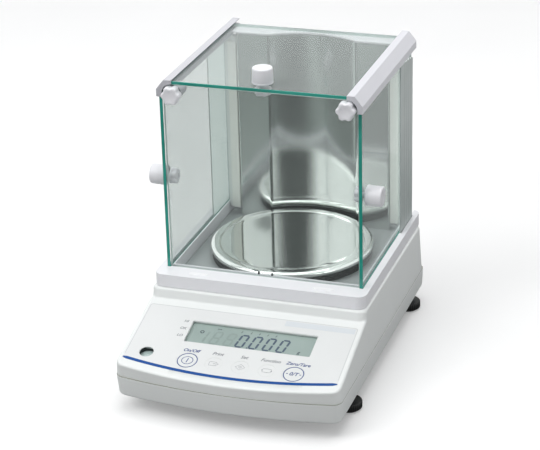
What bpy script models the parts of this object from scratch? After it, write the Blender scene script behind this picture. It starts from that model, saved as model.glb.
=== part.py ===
"""Precision balance with a glass draft shield, as an assembly of separate pieces.

Metres, +Z up, front towards -Y. The origin is on the table, under the middle of the case.
"""

import math

import bmesh
import bpy
from mathutils import Matrix, Vector

MM = 0.001

# Clearances
SEAT_GAP = 0.3 * MM
SLIDE_GAP = 0.35 * MM
CUT_MARGIN = 2 * MM
JOIN_OVERLAP = 1 * MM

# Smoothness of round shapes
ARC_STEPS = 5
BOW_STEPS = 12
CIRCLE_STEPS = 40
SMALL_STEPS = 20
PAN_STEPS = 64

# Case halves
CASE_DEPTH = 299 * MM
HALF_DEPTH = CASE_DEPTH / 2
CASE_HALF_SEAM = 101 * MM
CASE_HALF_BOTTOM = CASE_HALF_SEAM - 0.8 * MM
CASE_HALF_TOP = CASE_HALF_SEAM - 2.5 * MM
CASE_BOTTOM_Z = 13.7 * MM
CASE_SEAM_Z = 33.5 * MM
CASE_LIP_Z = 42 * MM
CASE_TOP_Z = 78 * MM
CASE_WALL = 2.5 * MM
CASE_FRONT_BULGE = 10 * MM
CASE_FRONT_CORNER = 9 * MM
CASE_REAR_CORNER = 7 * MM
CASE_BOTTOM_TUCK = 3.2 * MM
CASE_SEAM_TUCK = 0.8 * MM
CASE_REAR_LEAN = 5 * MM
CASE_EDGE_ROUND = 2.2 * MM

# Sloping console, measured from the line where the film starts at its top edge
CONSOLE_TILT = math.radians(15.2)
CONSOLE_RUN = 88.4 * MM
CONSOLE_TOP_Y = CONSOLE_RUN - HALF_DEPTH
CONSOLE_TOP_Z = CASE_TOP_Z - 11.1 * MM
RISER_Y = CONSOLE_TOP_Y + 10.6 * MM
FILM_HALF_TOP = CASE_HALF_TOP - 3.1 * MM
FILM_HALF_FRONT = CASE_HALF_SEAM - 5 * MM
FILM_FRONT_S = 5.8 * MM - CONSOLE_RUN
FILM_TIP_S = FILM_FRONT_S + CASE_FRONT_BULGE + 0.2 * MM
FILM_THICK = 0.6 * MM
FILM_CORNER = 2.5 * MM

# Display
LCD_LEFT = -50 * MM
LCD_RIGHT = 63.6 * MM
LCD_TOP_S = -15.5 * MM
LCD_BOTTOM_S = -42.7 * MM
LCD_CORNER = 1.2 * MM
LCD_LAP = 3 * MM
LCD_WINDOW_THICK = 1 * MM
LCD_MODULE_THICK = 6 * MM

# Keys
KEY_FIRST_X = -38.6 * MM
KEY_PITCH = 23.75 * MM
KEY_S = -65.7 * MM
RING_KEY_RADIUS = 9.2 * MM
ICON_KEY_RADIUS = 7.2 * MM
KEY_GAP = 0.3 * MM
KEY_TRAVEL = 0.4 * MM
KEY_CAP_THICK = 3.1 * MM
KEY_FLANGE_LAP = 1.2 * MM
KEY_FLANGE_THICK = 1.2 * MM
KEY_STEM_RADIUS = 2 * MM
KEY_STEM_LENGTH = 2.7 * MM
KEY_BOARD_MARGIN = 3 * MM
BOARD_THICK = 1.6 * MM
DOME_RADIUS = 3 * MM
DOME_HEIGHT = 0.4 * MM
RIB_HALF = 0.8 * MM

# Spirit level
LEVEL_X = -77.4 * MM
LEVEL_S = -61.6 * MM
LEVEL_HOLE_RADIUS = 6.3 * MM
LEVEL_CUP_RADIUS = 8.5 * MM
LEVEL_CUP_HEIGHT = 9 * MM
LEVEL_CUP_WALL = 1.2 * MM
LEVEL_LENS_HEIGHT = 3 * MM

# Draft shield tray on top of the case
TRAY_HALF_WIDTH = CASE_HALF_TOP - 1.5 * MM
TRAY_FRONT_Y = RISER_Y + 1.8 * MM
TRAY_REAR_Y = HALF_DEPTH - 0.5 * MM
TRAY_TOP_Z = CASE_TOP_Z + 12.1 * MM
TRAY_CORNER = 8 * MM
TRAY_INNER_CORNER = 2 * MM
SIDE_GLASS_OUTER = TRAY_HALF_WIDTH - 6.5 * MM
CHAMBER_HALF_WIDTH = SIDE_GLASS_OUTER - 4.5 * MM
SHIELD_FRONT_Y = TRAY_FRONT_Y + 17.6 * MM
FRONT_GLASS_Y = SHIELD_FRONT_Y + 1.6 * MM
CHAMBER_FRONT_Y = FRONT_GLASS_Y + 5.8 * MM
SHELF_REAR_Y = TRAY_REAR_Y - 12 * MM
GROOVE_DEPTH = 3.4 * MM
FRONT_GROOVE_DEPTH = 1.8 * MM
GLASS_STOP_X = 6.2 * MM
GLASS_STOP_HEIGHT = 2 * MM

# Glass
GLASS_THICK = 3 * MM
GLASS_FRONT_SET = 0.4 * MM
DOOR_GLASS_LENGTH = SHELF_REAR_Y - 1.1 * MM - SHIELD_FRONT_Y
RAIL_TOP_Z = 267 * MM
TOP_GLASS_Z = RAIL_TOP_Z - 4.2 * MM
TOP_GLASS_HALF = SIDE_GLASS_OUTER - 8.5 * MM
FRONT_GLASS_TOP_GAP = 0.6 * MM

# Rails along the top edges
RAIL_HALF_OUTER = SIDE_GLASS_OUTER + 1.5 * MM
RAIL_HALF_CREST = SIDE_GLASS_OUTER - 5.5 * MM
RAIL_HALF_INNER = TOP_GLASS_HALF - 3.7 * MM
RAIL_SHOULDER_Z = RAIL_TOP_Z - 8.7 * MM
RAIL_BOTTOM_Z = RAIL_TOP_Z - 15.4 * MM
RAIL_SOFFIT_Z = RAIL_TOP_Z - 9.4 * MM
RAIL_REAR_Y = TRAY_REAR_Y - 0.5 * MM
RAIL_FLANGE_INNER = SIDE_GLASS_OUTER - 4.5 * MM
SIDE_GROOVE_RISE = 3.6 * MM

# Thumb screws that hold the front glass
CORNER_X = TOP_GLASS_HALF - 4 * MM
CORNER_Z = RAIL_TOP_Z - 13 * MM
CORNER_KNOB_RADIUS = 8.6 * MM
CORNER_KNOB_LENGTH = 8.5 * MM
CORNER_STEM_RADIUS = 3 * MM
CORNER_STEM_LENGTH = 9 * MM
CORNER_BOSS_RADIUS = 6.2 * MM
CORNER_BOSS_LENGTH = 14 * MM
CORNER_CUP_RADIUS = CORNER_KNOB_RADIUS + 2 * MM
RAIL_END_CUP_RADIUS = CORNER_KNOB_RADIUS + 0.9 * MM
RAIL_END_THICK = 2.3 * MM
KNOB_LOBES = 6
LOBE_DEPTH = 0.09

# Door pulls
SIDE_PULL_Z = TRAY_TOP_Z + 83.1 * MM
PULL_RADIUS_WIDE = 9.4 * MM
PULL_RADIUS_NARROW = 8.8 * MM
PULL_LENGTH = 14 * MM
PULL_EDGE = 1.4 * MM
PULL_NECK_RADIUS = 7.4 * MM
PULL_NECK_LENGTH = 0.8 * MM
PULL_STEM_RADIUS = 2.4 * MM
PULL_NUT_RADIUS = 7.3 * MM
PULL_NUT_LENGTH = 6 * MM
PULL_NUT_GAP = 0.6 * MM

# Back wall of the chamber
BACK_FLAT_Y = SHELF_REAR_Y - 14.6 * MM
BACK_FOLD_X = 42.2 * MM
BACK_BOW = 12.5 * MM
BACK_SHEET = 1.2 * MM
POST_INNER_X = CHAMBER_HALF_WIDTH - 12 * MM
POST_OUTER_X = CHAMBER_HALF_WIDTH - 0.4 * MM
BACK_HALF_WIDTH = POST_INNER_X - 0.5 * MM
CAP_HALF_WIDTH = RAIL_HALF_INNER - 0.9 * MM
CAP_REAR_Y = SHELF_REAR_Y + 4.3 * MM
CAP_THICK = 1.6 * MM
POST_FRONT_Y = SHELF_REAR_Y - 13 * MM
POST_REAR_Y = SHELF_REAR_Y - 6 * MM
SEAL_WIDTH = 8 * MM
SEAL_THICK = 1.6 * MM
SEAL_TOP_DROP = 5.6 * MM
SEAL_LIFT = 7.5 * MM
GUIDE_THICK = 1.4 * MM
GUIDE_FRONT_Y = SHELF_REAR_Y - 44 * MM
GUIDE_REAR_Y = SHELF_REAR_Y - 1 * MM
GUIDE_NOTCH_LENGTH = 14 * MM
GUIDE_NOTCH_DROP = 5 * MM
GUIDE_SEAT_DEPTH = 3 * MM

# Weighing pan and draft ring
PAN_DEPTH_SHARE = (BACK_FLAT_Y - CHAMBER_FRONT_Y) / 2 + 1.9 * MM
PAN_SKIRT_RADIUS = min(PAN_DEPTH_SHARE, CHAMBER_HALF_WIDTH - 9 * MM)
PAN_Y = CHAMBER_FRONT_Y + 1.2 * MM + PAN_SKIRT_RADIUS
PAN_RIM_RADIUS = PAN_SKIRT_RADIUS - 3 * MM
PAN_RIM_Z = TRAY_TOP_Z + 0.6 * MM
PAN_FLOOR_DROP = 0.4 * MM
PAN_SHOULDER_DROP = 1.4 * MM
PAN_FLOOR_RADIUS = PAN_SKIRT_RADIUS - 9.5 * MM
PAN_SHEET = 1 * MM
PAN_SKIRT_Z = TRAY_TOP_Z - 3.9 * MM
RING_OUTER_RADIUS = PAN_SKIRT_RADIUS - 1.5 * MM
RING_INNER_RADIUS = RING_OUTER_RADIUS - 4 * MM
RING_TOP_Z = CASE_TOP_Z + 6.6 * MM
SPINDLE_RADIUS = 5 * MM
SPINDLE_HOLE_RADIUS = 9 * MM
SPIDER_RADIUS = PAN_FLOOR_RADIUS - 13.5 * MM
SPIDER_HALF_ARM = 5 * MM
SPIDER_THICK = 3.5 * MM
HUB_RADIUS = 12 * MM

# Weighing mechanism
CHASSIS_HALF_WIDTH = 62 * MM
CHASSIS_FRONT_Y = PAN_Y - 76.5 * MM
CHASSIS_REAR_Y = PAN_Y + 35.5 * MM
CHASSIS_THICK = 6 * MM
CHASSIS_LIFT = 2.5 * MM
CHASSIS_CORNER = 8 * MM
STANDOFF_RADIUS = 4.5 * MM
BLOCK_HALF_WIDTH = 16 * MM
FIXED_BLOCK_REAR_Y = PAN_Y - 52.5 * MM
FIXED_BLOCK_DEPTH = 20 * MM
LIVE_BLOCK_HALF_DEPTH = 9 * MM
LIVE_BLOCK_LIFT = 3 * MM
BLOCK_TOP_Z = CASE_TOP_Z - 12 * MM
BEAM_THICK = 4 * MM
BEAM_FLEXURE = 1.2 * MM
BEAM_FLEXURE_LENGTH = 6 * MM
BEAM_INSET = 4 * MM
FLEX_GAP = 0.6 * MM
LEVER_HALF_WIDTH = 5 * MM
LEVER_HEIGHT = 8 * MM
FORK_HALF_WIDTH = 5 * MM
FORK_SLOT_HALF = 1.3 * MM
FORK_THICK = 2.5 * MM
FORK_END = 3 * MM
FORK_LENGTH = 14 * MM

# Electronics at the back
BOARD_HALF_WIDTH = 60 * MM
BOARD_FRONT_Y = CHASSIS_REAR_Y + 8 * MM
BOARD_LIFT = 22 * MM
BOARD_REAR_GAP = 6 * MM
JACK_X = -52 * MM
JACK_HALF = 4.5 * MM
JACK_HEIGHT = 11 * MM
JACK_LENGTH = 14 * MM
JACK_BORE = 3.2 * MM
JACK_DEPTH = 9 * MM
PORT_X = 34 * MM
PORT_HALF = 15.4 * MM
PORT_HEIGHT = 12.5 * MM
PORT_SHELL_HALF = 8.6 * MM
PORT_SHELL_HEIGHT = 8 * MM
PORT_LENGTH = 15 * MM

# Levelling feet
FOOT_X = CASE_HALF_BOTTOM - 8.7 * MM
FOOT_FRONT_Y = CONSOLE_TOP_Y - 20.2 * MM
FOOT_REAR_Y = HALF_DEPTH - 27.2 * MM
FOOT_RADIUS = 12 * MM
FOOT_PAD_RADIUS = 10 * MM
FOOT_PAD_HEIGHT = 1.2 * MM
FOOT_WHEEL_TOP = CASE_BOTTOM_Z - 5.7 * MM
FOOT_STUD_RADIUS = 4.5 * MM
FOOT_STUD_TOP = CASE_BOTTOM_Z + 13.3 * MM
FOOT_BOSS_RADIUS = 7.4 * MM
FOOT_BOSS_TOP = FOOT_STUD_TOP + 2 * MM

# Case screws under the base
SCREW_X = CASE_HALF_BOTTOM - 24.2 * MM
SCREW_FRONT_Y = CONSOLE_TOP_Y - 38.9 * MM
SCREW_REAR_Y = HALF_DEPTH - 13.5 * MM
SCREW_RADIUS = 1.6 * MM
SCREW_HEAD_RADIUS = 3.2 * MM
SCREW_HEAD_HEIGHT = 1.8 * MM
SCREW_TOP_Z = CASE_SEAM_Z + 10.5 * MM
SCREW_BOSS_RADIUS = 4.2 * MM


# Scene and collections
for old in list(bpy.data.objects):
    bpy.data.objects.remove(old, do_unlink=True)

PARTS = bpy.data.collections.new("precision_balance")
CUTTERS = bpy.data.collections.new("balance_cutters")
for collection in (PARTS, CUTTERS):
    bpy.context.scene.collection.children.link(collection)


def finish(name, color, roughness, metallic=0.0):
    """A Principled material for one kind of surface."""
    material = bpy.data.materials.new(name)
    material.use_nodes = True
    shader = material.node_tree.nodes["Principled BSDF"]
    shader.inputs["Base Color"].default_value = (*color, 1.0)
    shader.inputs["Roughness"].default_value = roughness
    shader.inputs["Metallic"].default_value = metallic
    return material


CASE_PLASTIC = finish("case_plastic", (0.80, 0.82, 0.80), 0.45)
SHIELD_PLASTIC = finish("shield_plastic", (0.80, 0.80, 0.84), 0.40)
FILM = finish("panel_film", (0.86, 0.87, 0.88), 0.35)
KEY_FILM = finish("key_film", (0.84, 0.86, 0.90), 0.35)
CLEAR = finish("clear_plastic", (0.75, 0.82, 0.80), 0.08)
LCD_GLASS = finish("lcd_glass", (0.38, 0.46, 0.43), 0.20)
GLASS = finish("float_glass", (0.55, 0.75, 0.70), 0.03)
STEEL = finish("stainless_steel", (0.62, 0.63, 0.62), 0.18, 1.0)
ALUMINIUM = finish("cast_aluminium", (0.55, 0.56, 0.57), 0.45, 1.0)
BLACK = finish("black_plastic", (0.02, 0.02, 0.02), 0.50)
SEAL = finish("seal_strip", (0.72, 0.74, 0.68), 0.70)
POST_PLASTIC = finish("post_plastic", (0.45, 0.50, 0.50), 0.45)
BOARD = finish("circuit_board", (0.04, 0.20, 0.10), 0.50)
FASTENER = finish("fastener_steel", (0.50, 0.50, 0.50), 0.35, 1.0)


def add(name, mesh, material, cutter=False):
    """Links a mesh as a part, or as a hidden cutter."""
    shape = bpy.data.objects.new(name, mesh)
    (CUTTERS if cutter else PARTS).objects.link(shape)
    if cutter:
        shape.hide_render = True
        shape.display_type = "WIRE"
    else:
        mesh.materials.append(material)
    return shape


def arc(centre, radius, start, stop, steps):
    """Points on a circular arc, angles in degrees."""
    angles = [math.radians(start + (stop - start) * i / steps) for i in range(steps + 1)]
    return [(centre[0] + radius * math.cos(a), centre[1] + radius * math.sin(a)) for a in angles]


def circle(centre, radius, steps=CIRCLE_STEPS):
    return arc(centre, radius, 0, 360, steps)[:-1]


def rectangle(x, y, corner=0.0):
    """A rectangle from (low, high) pairs, its corners rounded."""
    if corner <= 0:
        return [(x[0], y[0]), (x[1], y[0]), (x[1], y[1]), (x[0], y[1])]
    outline = []
    centres = (
        (x[0] + corner, y[0] + corner, 180),
        (x[1] - corner, y[0] + corner, 270),
        (x[1] - corner, y[1] - corner, 0),
        (x[0] + corner, y[1] - corner, 90),
    )
    for cx, cy, start in centres:
        outline += arc((cx, cy), corner, start, start + 90, ARC_STEPS)
    return outline


AXES = {
    "Z": Matrix.Identity(4),
    "X": Matrix(((0, 0, 1, 0), (1, 0, 0, 0), (0, 1, 0, 0), (0, 0, 0, 1))),
    "Y": Matrix(((1, 0, 0, 0), (0, 0, -1, 0), (0, 1, 0, 0), (0, 0, 0, 1))),
}


def plate(name, material, loops, low, high, axis="Z", cutter=False):
    """A flat outline with holes, extruded from low to high along an axis.

    Loops are in the X, Y plane for axis Z, in Y, Z for axis X and in X, Z for axis Y.
    """
    curve = bpy.data.curves.new(name, "CURVE")
    curve.dimensions = "2D"
    curve.fill_mode = "BOTH"
    curve.extrude = (high - low) / 2
    for loop in loops:
        spline = curve.splines.new("POLY")
        spline.points.add(len(loop) - 1)
        for point, (a, b) in zip(spline.points, loop):
            point.co = (a, b, 0, 1)
        spline.use_cyclic_u = True
    drawn = bpy.data.objects.new(name + "_outline", curve)
    bpy.context.scene.collection.objects.link(drawn)
    graph = bpy.context.evaluated_depsgraph_get()
    mesh = bpy.data.meshes.new_from_object(drawn.evaluated_get(graph))
    bpy.data.objects.remove(drawn)
    bpy.data.curves.remove(curve)
    mesh.name = name
    middle = (low + high) / 2
    lift = Vector((0, 0, -middle if axis == "Y" else middle))
    mesh.transform(AXES[axis] @ Matrix.Translation(lift))
    shape = bmesh.new()
    shape.from_mesh(mesh)
    bmesh.ops.remove_doubles(shape, verts=shape.verts, dist=1e-6)
    bmesh.ops.recalc_face_normals(shape, faces=shape.faces)
    shape.to_mesh(mesh)
    shape.free()
    mesh.materials.clear()
    return add(name, mesh, material, cutter)


def box(name, material, x, y, z, cutter=False):
    """A block from (low, high) pairs."""
    shape = bmesh.new()
    bmesh.ops.create_cube(shape, size=1)
    size = Vector((x[1] - x[0], y[1] - y[0], z[1] - z[0]))
    middle = Vector((x[0] + x[1], y[0] + y[1], z[0] + z[1])) / 2
    bmesh.ops.scale(shape, vec=size, verts=shape.verts)
    bmesh.ops.translate(shape, vec=middle, verts=shape.verts)
    mesh = bpy.data.meshes.new(name)
    shape.to_mesh(mesh)
    shape.free()
    return add(name, mesh, material, cutter)


def turned(name, material, profile, steps=CIRCLE_STEPS, cutter=False):
    """A profile of (radius, height) points, from the top down, turned about Z."""
    mesh = bpy.data.meshes.new(name)
    points = [(r, 0, z) for r, z in profile]
    mesh.from_pydata(points, [(i, i + 1) for i in range(len(points) - 1)], [])
    part = add(name, mesh, material, cutter)
    screw = part.modifiers.new("turn", "SCREW")
    screw.steps = steps
    screw.render_steps = steps
    screw.use_merge_vertices = True
    screw.merge_threshold = 1e-5
    screw.use_smooth_shade = True
    return part


def solid_profile(*steps):
    """A closed profile down the outside, from the axis at the top to the axis at the bottom."""
    return [(0, steps[0][1]), *steps, (0, steps[-1][1])]


def lathe(name, material, steps, sides=CIRCLE_STEPS, cutter=False):
    return turned(name, material, solid_profile(*steps), sides, cutter)


def cut(target, *cutters):
    for cutter in cutters:
        tool = target.modifiers.new("cut_" + cutter.name, "BOOLEAN")
        tool.operation = "DIFFERENCE"
        tool.object = cutter


def join(target, *pieces):
    for piece in pieces:
        tool = target.modifiers.new("join_" + piece.name, "BOOLEAN")
        tool.operation = "UNION"
        tool.object = piece


def place(part, location=(0, 0, 0), rotation=(0, 0, 0), parent=None):
    part.location = location
    part.rotation_euler = rotation
    part.parent = parent
    return part


def soften(part, width, segments=2, angle=35):
    """Rounds the sharp edges of a part."""
    bevel = part.modifiers.new("soften", "BEVEL")
    bevel.width = width
    bevel.segments = segments
    bevel.limit_method = "ANGLE"
    bevel.angle_limit = math.radians(angle)


def lobed(radius, depth, lobes, steps_per_lobe=6):
    """The outline of a finger knob, a circle with a shallow hollow between its lobes."""
    count = lobes * steps_per_lobe
    outline = []
    for i in range(count):
        turn = 2 * math.pi * i / count
        reach = radius * (1 - depth * (1 - math.cos(lobes * turn)) / 2)
        outline.append((reach * math.cos(turn), reach * math.sin(turn)))
    return outline


# Values worked out from the sizes above
SIDES = (("left", -1), ("right", 1))
SIDE_GLASS_INNER = SIDE_GLASS_OUTER - GLASS_THICK
GLASS_BACK_Y = FRONT_GLASS_Y + GLASS_THICK
TOP_GLASS_TOP = TOP_GLASS_Z + GLASS_THICK
DOOR_FRONT_Y = SHIELD_FRONT_Y + GLASS_FRONT_SET
DOOR_REAR_Y = DOOR_FRONT_Y + DOOR_GLASS_LENGTH
TRAY_BOTTOM_Z = CASE_TOP_Z + SEAT_GAP
CHAMBER_FLOOR_Z = CASE_TOP_Z
GROOVE_FLOOR_Z = TRAY_TOP_Z - GROOVE_DEPTH
CAP_TOP_Z = TOP_GLASS_Z - SEAT_GAP
CAP_BOTTOM_Z = CAP_TOP_Z - CAP_THICK
CHASSIS_BOTTOM_Z = CASE_BOTTOM_Z + CASE_WALL + CHASSIS_LIFT
CHASSIS_TOP_Z = CHASSIS_BOTTOM_Z + CHASSIS_THICK
BOARD_Z = CASE_BOTTOM_Z + CASE_WALL + BOARD_LIFT
CONSOLE = bpy.data.objects.new("console_plane", None)
PARTS.objects.link(CONSOLE)
place(CONSOLE, (0, CONSOLE_TOP_Y, CONSOLE_TOP_Z), (CONSOLE_TILT, 0, 0))


def case_outline(half_width, front_y, rear_y, inset):
    """The plan of the case: bowed front, straight sides, round corners."""
    half = half_width - inset
    front = front_y + inset
    rear = rear_y - inset
    front_round = max(CASE_FRONT_CORNER - inset, 1 * MM)
    rear_round = max(CASE_REAR_CORNER - inset, 1 * MM)
    bow_radius = (half**2 + CASE_FRONT_BULGE**2) / (2 * CASE_FRONT_BULGE)
    reach = half - front_round
    swing = math.degrees(math.asin(reach / (bow_radius - front_round)))
    corner_y = front + bow_radius - math.sqrt((bow_radius - front_round) ** 2 - reach**2)
    points = arc((0, front + bow_radius), bow_radius, 270 - swing, 270 + swing, BOW_STEPS)
    right = arc((reach, corner_y), front_round, 270 + swing, 360, ARC_STEPS)[1:]
    points += right
    points += arc((half - rear_round, rear - rear_round), rear_round, 0, 90, ARC_STEPS)
    points += arc((rear_round - half, rear - rear_round), rear_round, 90, 180, ARC_STEPS)
    points += [(-x, y) for x, y in reversed(right)]
    return points


def loft(name, material, sections, cutter=False):
    """Joins outlines of equal point count at rising heights into a closed body."""
    shape = bmesh.new()
    rings = []
    for outline, z in sections:
        rings.append([shape.verts.new((x, y, z)) for x, y in outline])
    for lower, upper in zip(rings, rings[1:]):
        for i in range(len(lower)):
            j = (i + 1) % len(lower)
            shape.faces.new((lower[i], lower[j], upper[j], upper[i]))
    shape.faces.new(list(reversed(rings[0])))
    shape.faces.new(rings[-1])
    bmesh.ops.recalc_face_normals(shape, faces=shape.faces)
    mesh = bpy.data.meshes.new(name)
    shape.to_mesh(mesh)
    shape.free()
    return add(name, mesh, material, cutter)


def film_outline(grow):
    """The plan of the panel film on the console: straight top, bowed front."""
    sag = FILM_TIP_S - FILM_FRONT_S
    bow_radius = (FILM_HALF_FRONT**2 + sag**2) / (2 * sag)
    swing = math.degrees(math.asin(FILM_HALF_FRONT / bow_radius))
    front = arc((0, FILM_FRONT_S + bow_radius), bow_radius, 270 - swing, 270 + swing, 14)
    bowed = [(x * (1 + grow / FILM_HALF_FRONT), y - grow) for x, y in front]
    right_top = (FILM_HALF_TOP - FILM_CORNER, -FILM_CORNER)
    left_top = (FILM_CORNER - FILM_HALF_TOP, -FILM_CORNER)
    corner = FILM_CORNER + grow
    return (
        bowed
        + arc(right_top, corner, 0, 90, ARC_STEPS)
        + arc(left_top, corner, 90, 180, ARC_STEPS)
    )


# Lower half of the case, a tray with bosses for the feet, the screws and the chassis
def case_level(z, inset):
    """The outline of the case at a height, following its sloping sides."""
    if z <= CASE_SEAM_Z:
        rise = (z - CASE_BOTTOM_Z) / (CASE_SEAM_Z - CASE_BOTTOM_Z)
        half = CASE_HALF_BOTTOM + rise * (CASE_HALF_SEAM - CASE_HALF_BOTTOM)
        tuck = CASE_BOTTOM_TUCK + rise * (CASE_SEAM_TUCK - CASE_BOTTOM_TUCK)
        return case_outline(half, tuck - HALF_DEPTH, HALF_DEPTH, inset), z
    rise = (z - CASE_SEAM_Z) / (CASE_TOP_Z - CASE_SEAM_Z)
    half = CASE_HALF_SEAM + rise * (CASE_HALF_TOP - CASE_HALF_SEAM)
    lip = max(0.0, (CASE_LIP_Z - z) / (CASE_LIP_Z - CASE_SEAM_Z))
    front = lip * CASE_SEAM_TUCK - HALF_DEPTH
    return case_outline(half, front, HALF_DEPTH - rise * CASE_REAR_LEAN, inset), z


FEET = [
    (f"{where}_{side}_foot", sign * FOOT_X, y)
    for where, y in (("front", FOOT_FRONT_Y), ("rear", FOOT_REAR_Y))
    for side, sign in SIDES
]
SCREWS = [(sign * SCREW_X, y) for y in (SCREW_FRONT_Y, SCREW_REAR_Y) for _, sign in SIDES]
CHASSIS_POSTS = [
    (sign * (CHASSIS_HALF_WIDTH - CHASSIS_CORNER), y)
    for y in (CHASSIS_FRONT_Y + CHASSIS_CORNER, CHASSIS_REAR_Y - CHASSIS_CORNER)
    for _, sign in SIDES
]
BOARD_REAR_Y = HALF_DEPTH - CASE_WALL - BOARD_REAR_GAP
BOARD_POSTS = [
    (sign * (BOARD_HALF_WIDTH - STANDOFF_RADIUS), y)
    for y in (BOARD_FRONT_Y + STANDOFF_RADIUS, BOARD_REAR_Y - 3 * STANDOFF_RADIUS)
    for _, sign in SIDES
]

lower_case = loft(
    "lower_case", CASE_PLASTIC, [case_level(CASE_BOTTOM_Z, 0), case_level(CASE_SEAM_Z - SEAT_GAP, 0)]
)
soften(lower_case, CASE_EDGE_ROUND)
lower_hollow = loft(
    "lower_hollow",
    None,
    [
        case_level(CASE_BOTTOM_Z + CASE_WALL, CASE_WALL),
        (case_level(CASE_SEAM_Z, CASE_WALL)[0], CASE_SEAM_Z + CUT_MARGIN),
    ],
    cutter=True,
)
cut(lower_case, lower_hollow)


def floor_bosses(name, spots, radius, top):
    """Round posts that rise from the floor of the lower case."""
    for i, (x, y) in enumerate(spots):
        low = CASE_BOTTOM_Z + CASE_WALL - JOIN_OVERLAP
        boss = lathe(f"{name}_{i}", None, [(radius, top), (radius, low)], SMALL_STEPS, True)
        place(boss, (x, y, 0))
        join(lower_case, boss)


def floor_bores(name, spots, radius, top, low=CASE_BOTTOM_Z - CUT_MARGIN):
    for i, (x, y) in enumerate(spots):
        bore = lathe(f"{name}_{i}", None, [(radius, top), (radius, low)], SMALL_STEPS, True)
        place(bore, (x, y, 0))
        cut(lower_case, bore)


FOOT_SPOTS = [(x, y) for _, x, y in FEET]
floor_bosses("foot_boss", FOOT_SPOTS, FOOT_BOSS_RADIUS, FOOT_BOSS_TOP)
floor_bosses("chassis_boss", CHASSIS_POSTS, STANDOFF_RADIUS, CHASSIS_BOTTOM_Z - SEAT_GAP)
floor_bosses("board_boss", BOARD_POSTS, STANDOFF_RADIUS, BOARD_Z - SEAT_GAP)
floor_bosses("screw_boss", SCREWS, SCREW_BOSS_RADIUS, CASE_SEAM_Z - SEAT_GAP)
floor_bores("foot_bore", FOOT_SPOTS, FOOT_STUD_RADIUS + SEAT_GAP, FOOT_BOSS_TOP + CUT_MARGIN)
SCREW_SEAT_Z = CASE_BOTTOM_Z + SCREW_HEAD_HEIGHT + SEAT_GAP
for number, (x, y) in enumerate(SCREWS):
    sunk_bore = lathe(f"screw_bore_{number}", None, [
        (SCREW_RADIUS + SEAT_GAP, CASE_SEAM_Z + CUT_MARGIN),
        (SCREW_RADIUS + SEAT_GAP, SCREW_SEAT_Z),
        (SCREW_HEAD_RADIUS + SEAT_GAP, SCREW_SEAT_Z),
        (SCREW_HEAD_RADIUS + SEAT_GAP, CASE_BOTTOM_Z - CUT_MARGIN),
    ], SMALL_STEPS, cutter=True)
    cut(lower_case, place(sunk_bore, (x, y, 0)))


# Upper half of the case, with the sloping console and the flat top under the tray
def console_height(y, drop=0.0):
    """Height of the console's plane at a depth, lowered square to it by drop."""
    rise = (y - CONSOLE_TOP_Y) * math.tan(CONSOLE_TILT)
    return CONSOLE_TOP_Z + rise - drop / math.cos(CONSOLE_TILT)


def console_cutter(name, drop):
    """The space above the console and in front of the riser."""
    foot_y = RISER_Y + drop
    far_y = -HALF_DEPTH - 10 * CUT_MARGIN
    sky = CASE_TOP_Z + 4 * CUT_MARGIN
    section = [
        (far_y, console_height(far_y, drop)),
        (foot_y, console_height(foot_y, drop)),
        (foot_y, sky),
        (far_y, sky),
    ]
    reach = CASE_HALF_SEAM + 2 * CUT_MARGIN
    return plate(name, None, [section], -reach, reach, "X", cutter=True)


def case_rear(z):
    """Depth of the upper case's sloping rear face at a height."""
    rise = (z - CASE_SEAM_Z) / (CASE_TOP_Z - CASE_SEAM_Z)
    return HALF_DEPTH - rise * CASE_REAR_LEAN


upper_levels = (CASE_SEAM_Z + SEAT_GAP / 10, CASE_LIP_Z, CASE_TOP_Z)
upper_case = loft("upper_case", CASE_PLASTIC, [case_level(z, 0) for z in upper_levels])
cut(upper_case, console_cutter("console_space", 0))
soften(upper_case, CASE_EDGE_ROUND)
hollow_top_z = CASE_TOP_Z - CASE_WALL
upper_hollow = loft(
    "upper_hollow",
    None,
    [
        (case_level(CASE_SEAM_Z, CASE_WALL)[0], CASE_SEAM_Z - CUT_MARGIN),
        case_level(CASE_LIP_Z, CASE_WALL),
        case_level(hollow_top_z, CASE_WALL),
    ],
    cutter=True,
)
cut(upper_hollow, console_cutter("console_roof", CASE_WALL))
cut(upper_case, upper_hollow)

# Console cut-outs and the ribs that hold the key board
POCKET = FILM_THICK + SEAT_GAP
KEYS = ("key_on_off", "key_print", "key_set", "key_function", "key_zero_tare")
KEY_X = [KEY_FIRST_X + KEY_PITCH * i for i in range(len(KEYS))]
KEY_RADII = [RING_KEY_RADIUS] + [ICON_KEY_RADIUS] * (len(KEYS) - 2) + [RING_KEY_RADIUS]
lcd_x = (LCD_LEFT, LCD_RIGHT)
lcd_s = (LCD_BOTTOM_S, LCD_TOP_S)
lcd_opening = rectangle(lcd_x, lcd_s, LCD_CORNER)
film_pocket = plate("film_pocket", None, [film_outline(SEAT_GAP)], -POCKET, CUT_MARGIN, cutter=True)
lcd_hole = plate("lcd_hole", None, [lcd_opening], -2 * CASE_WALL, CUT_MARGIN, cutter=True)
level_hole = lathe(
    "level_hole",
    None,
    [(LEVEL_HOLE_RADIUS, CUT_MARGIN), (LEVEL_HOLE_RADIUS, -2 * CASE_WALL)],
    SMALL_STEPS,
    True,
)
place(film_pocket, parent=CONSOLE)
place(lcd_hole, parent=CONSOLE)
place(level_hole, (LEVEL_X, LEVEL_S, 0), parent=CONSOLE)
cut(upper_case, film_pocket, lcd_hole, level_hole)
for key_name, x, radius in zip(KEYS, KEY_X, KEY_RADII):
    reach = radius + KEY_GAP
    steps = [(reach, CUT_MARGIN), (reach, -2 * CASE_WALL)]
    key_hole = lathe(key_name + "_hole", None, steps, cutter=True)
    place(key_hole, (x, KEY_S, 0), parent=CONSOLE)
    cut(upper_case, key_hole)

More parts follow.
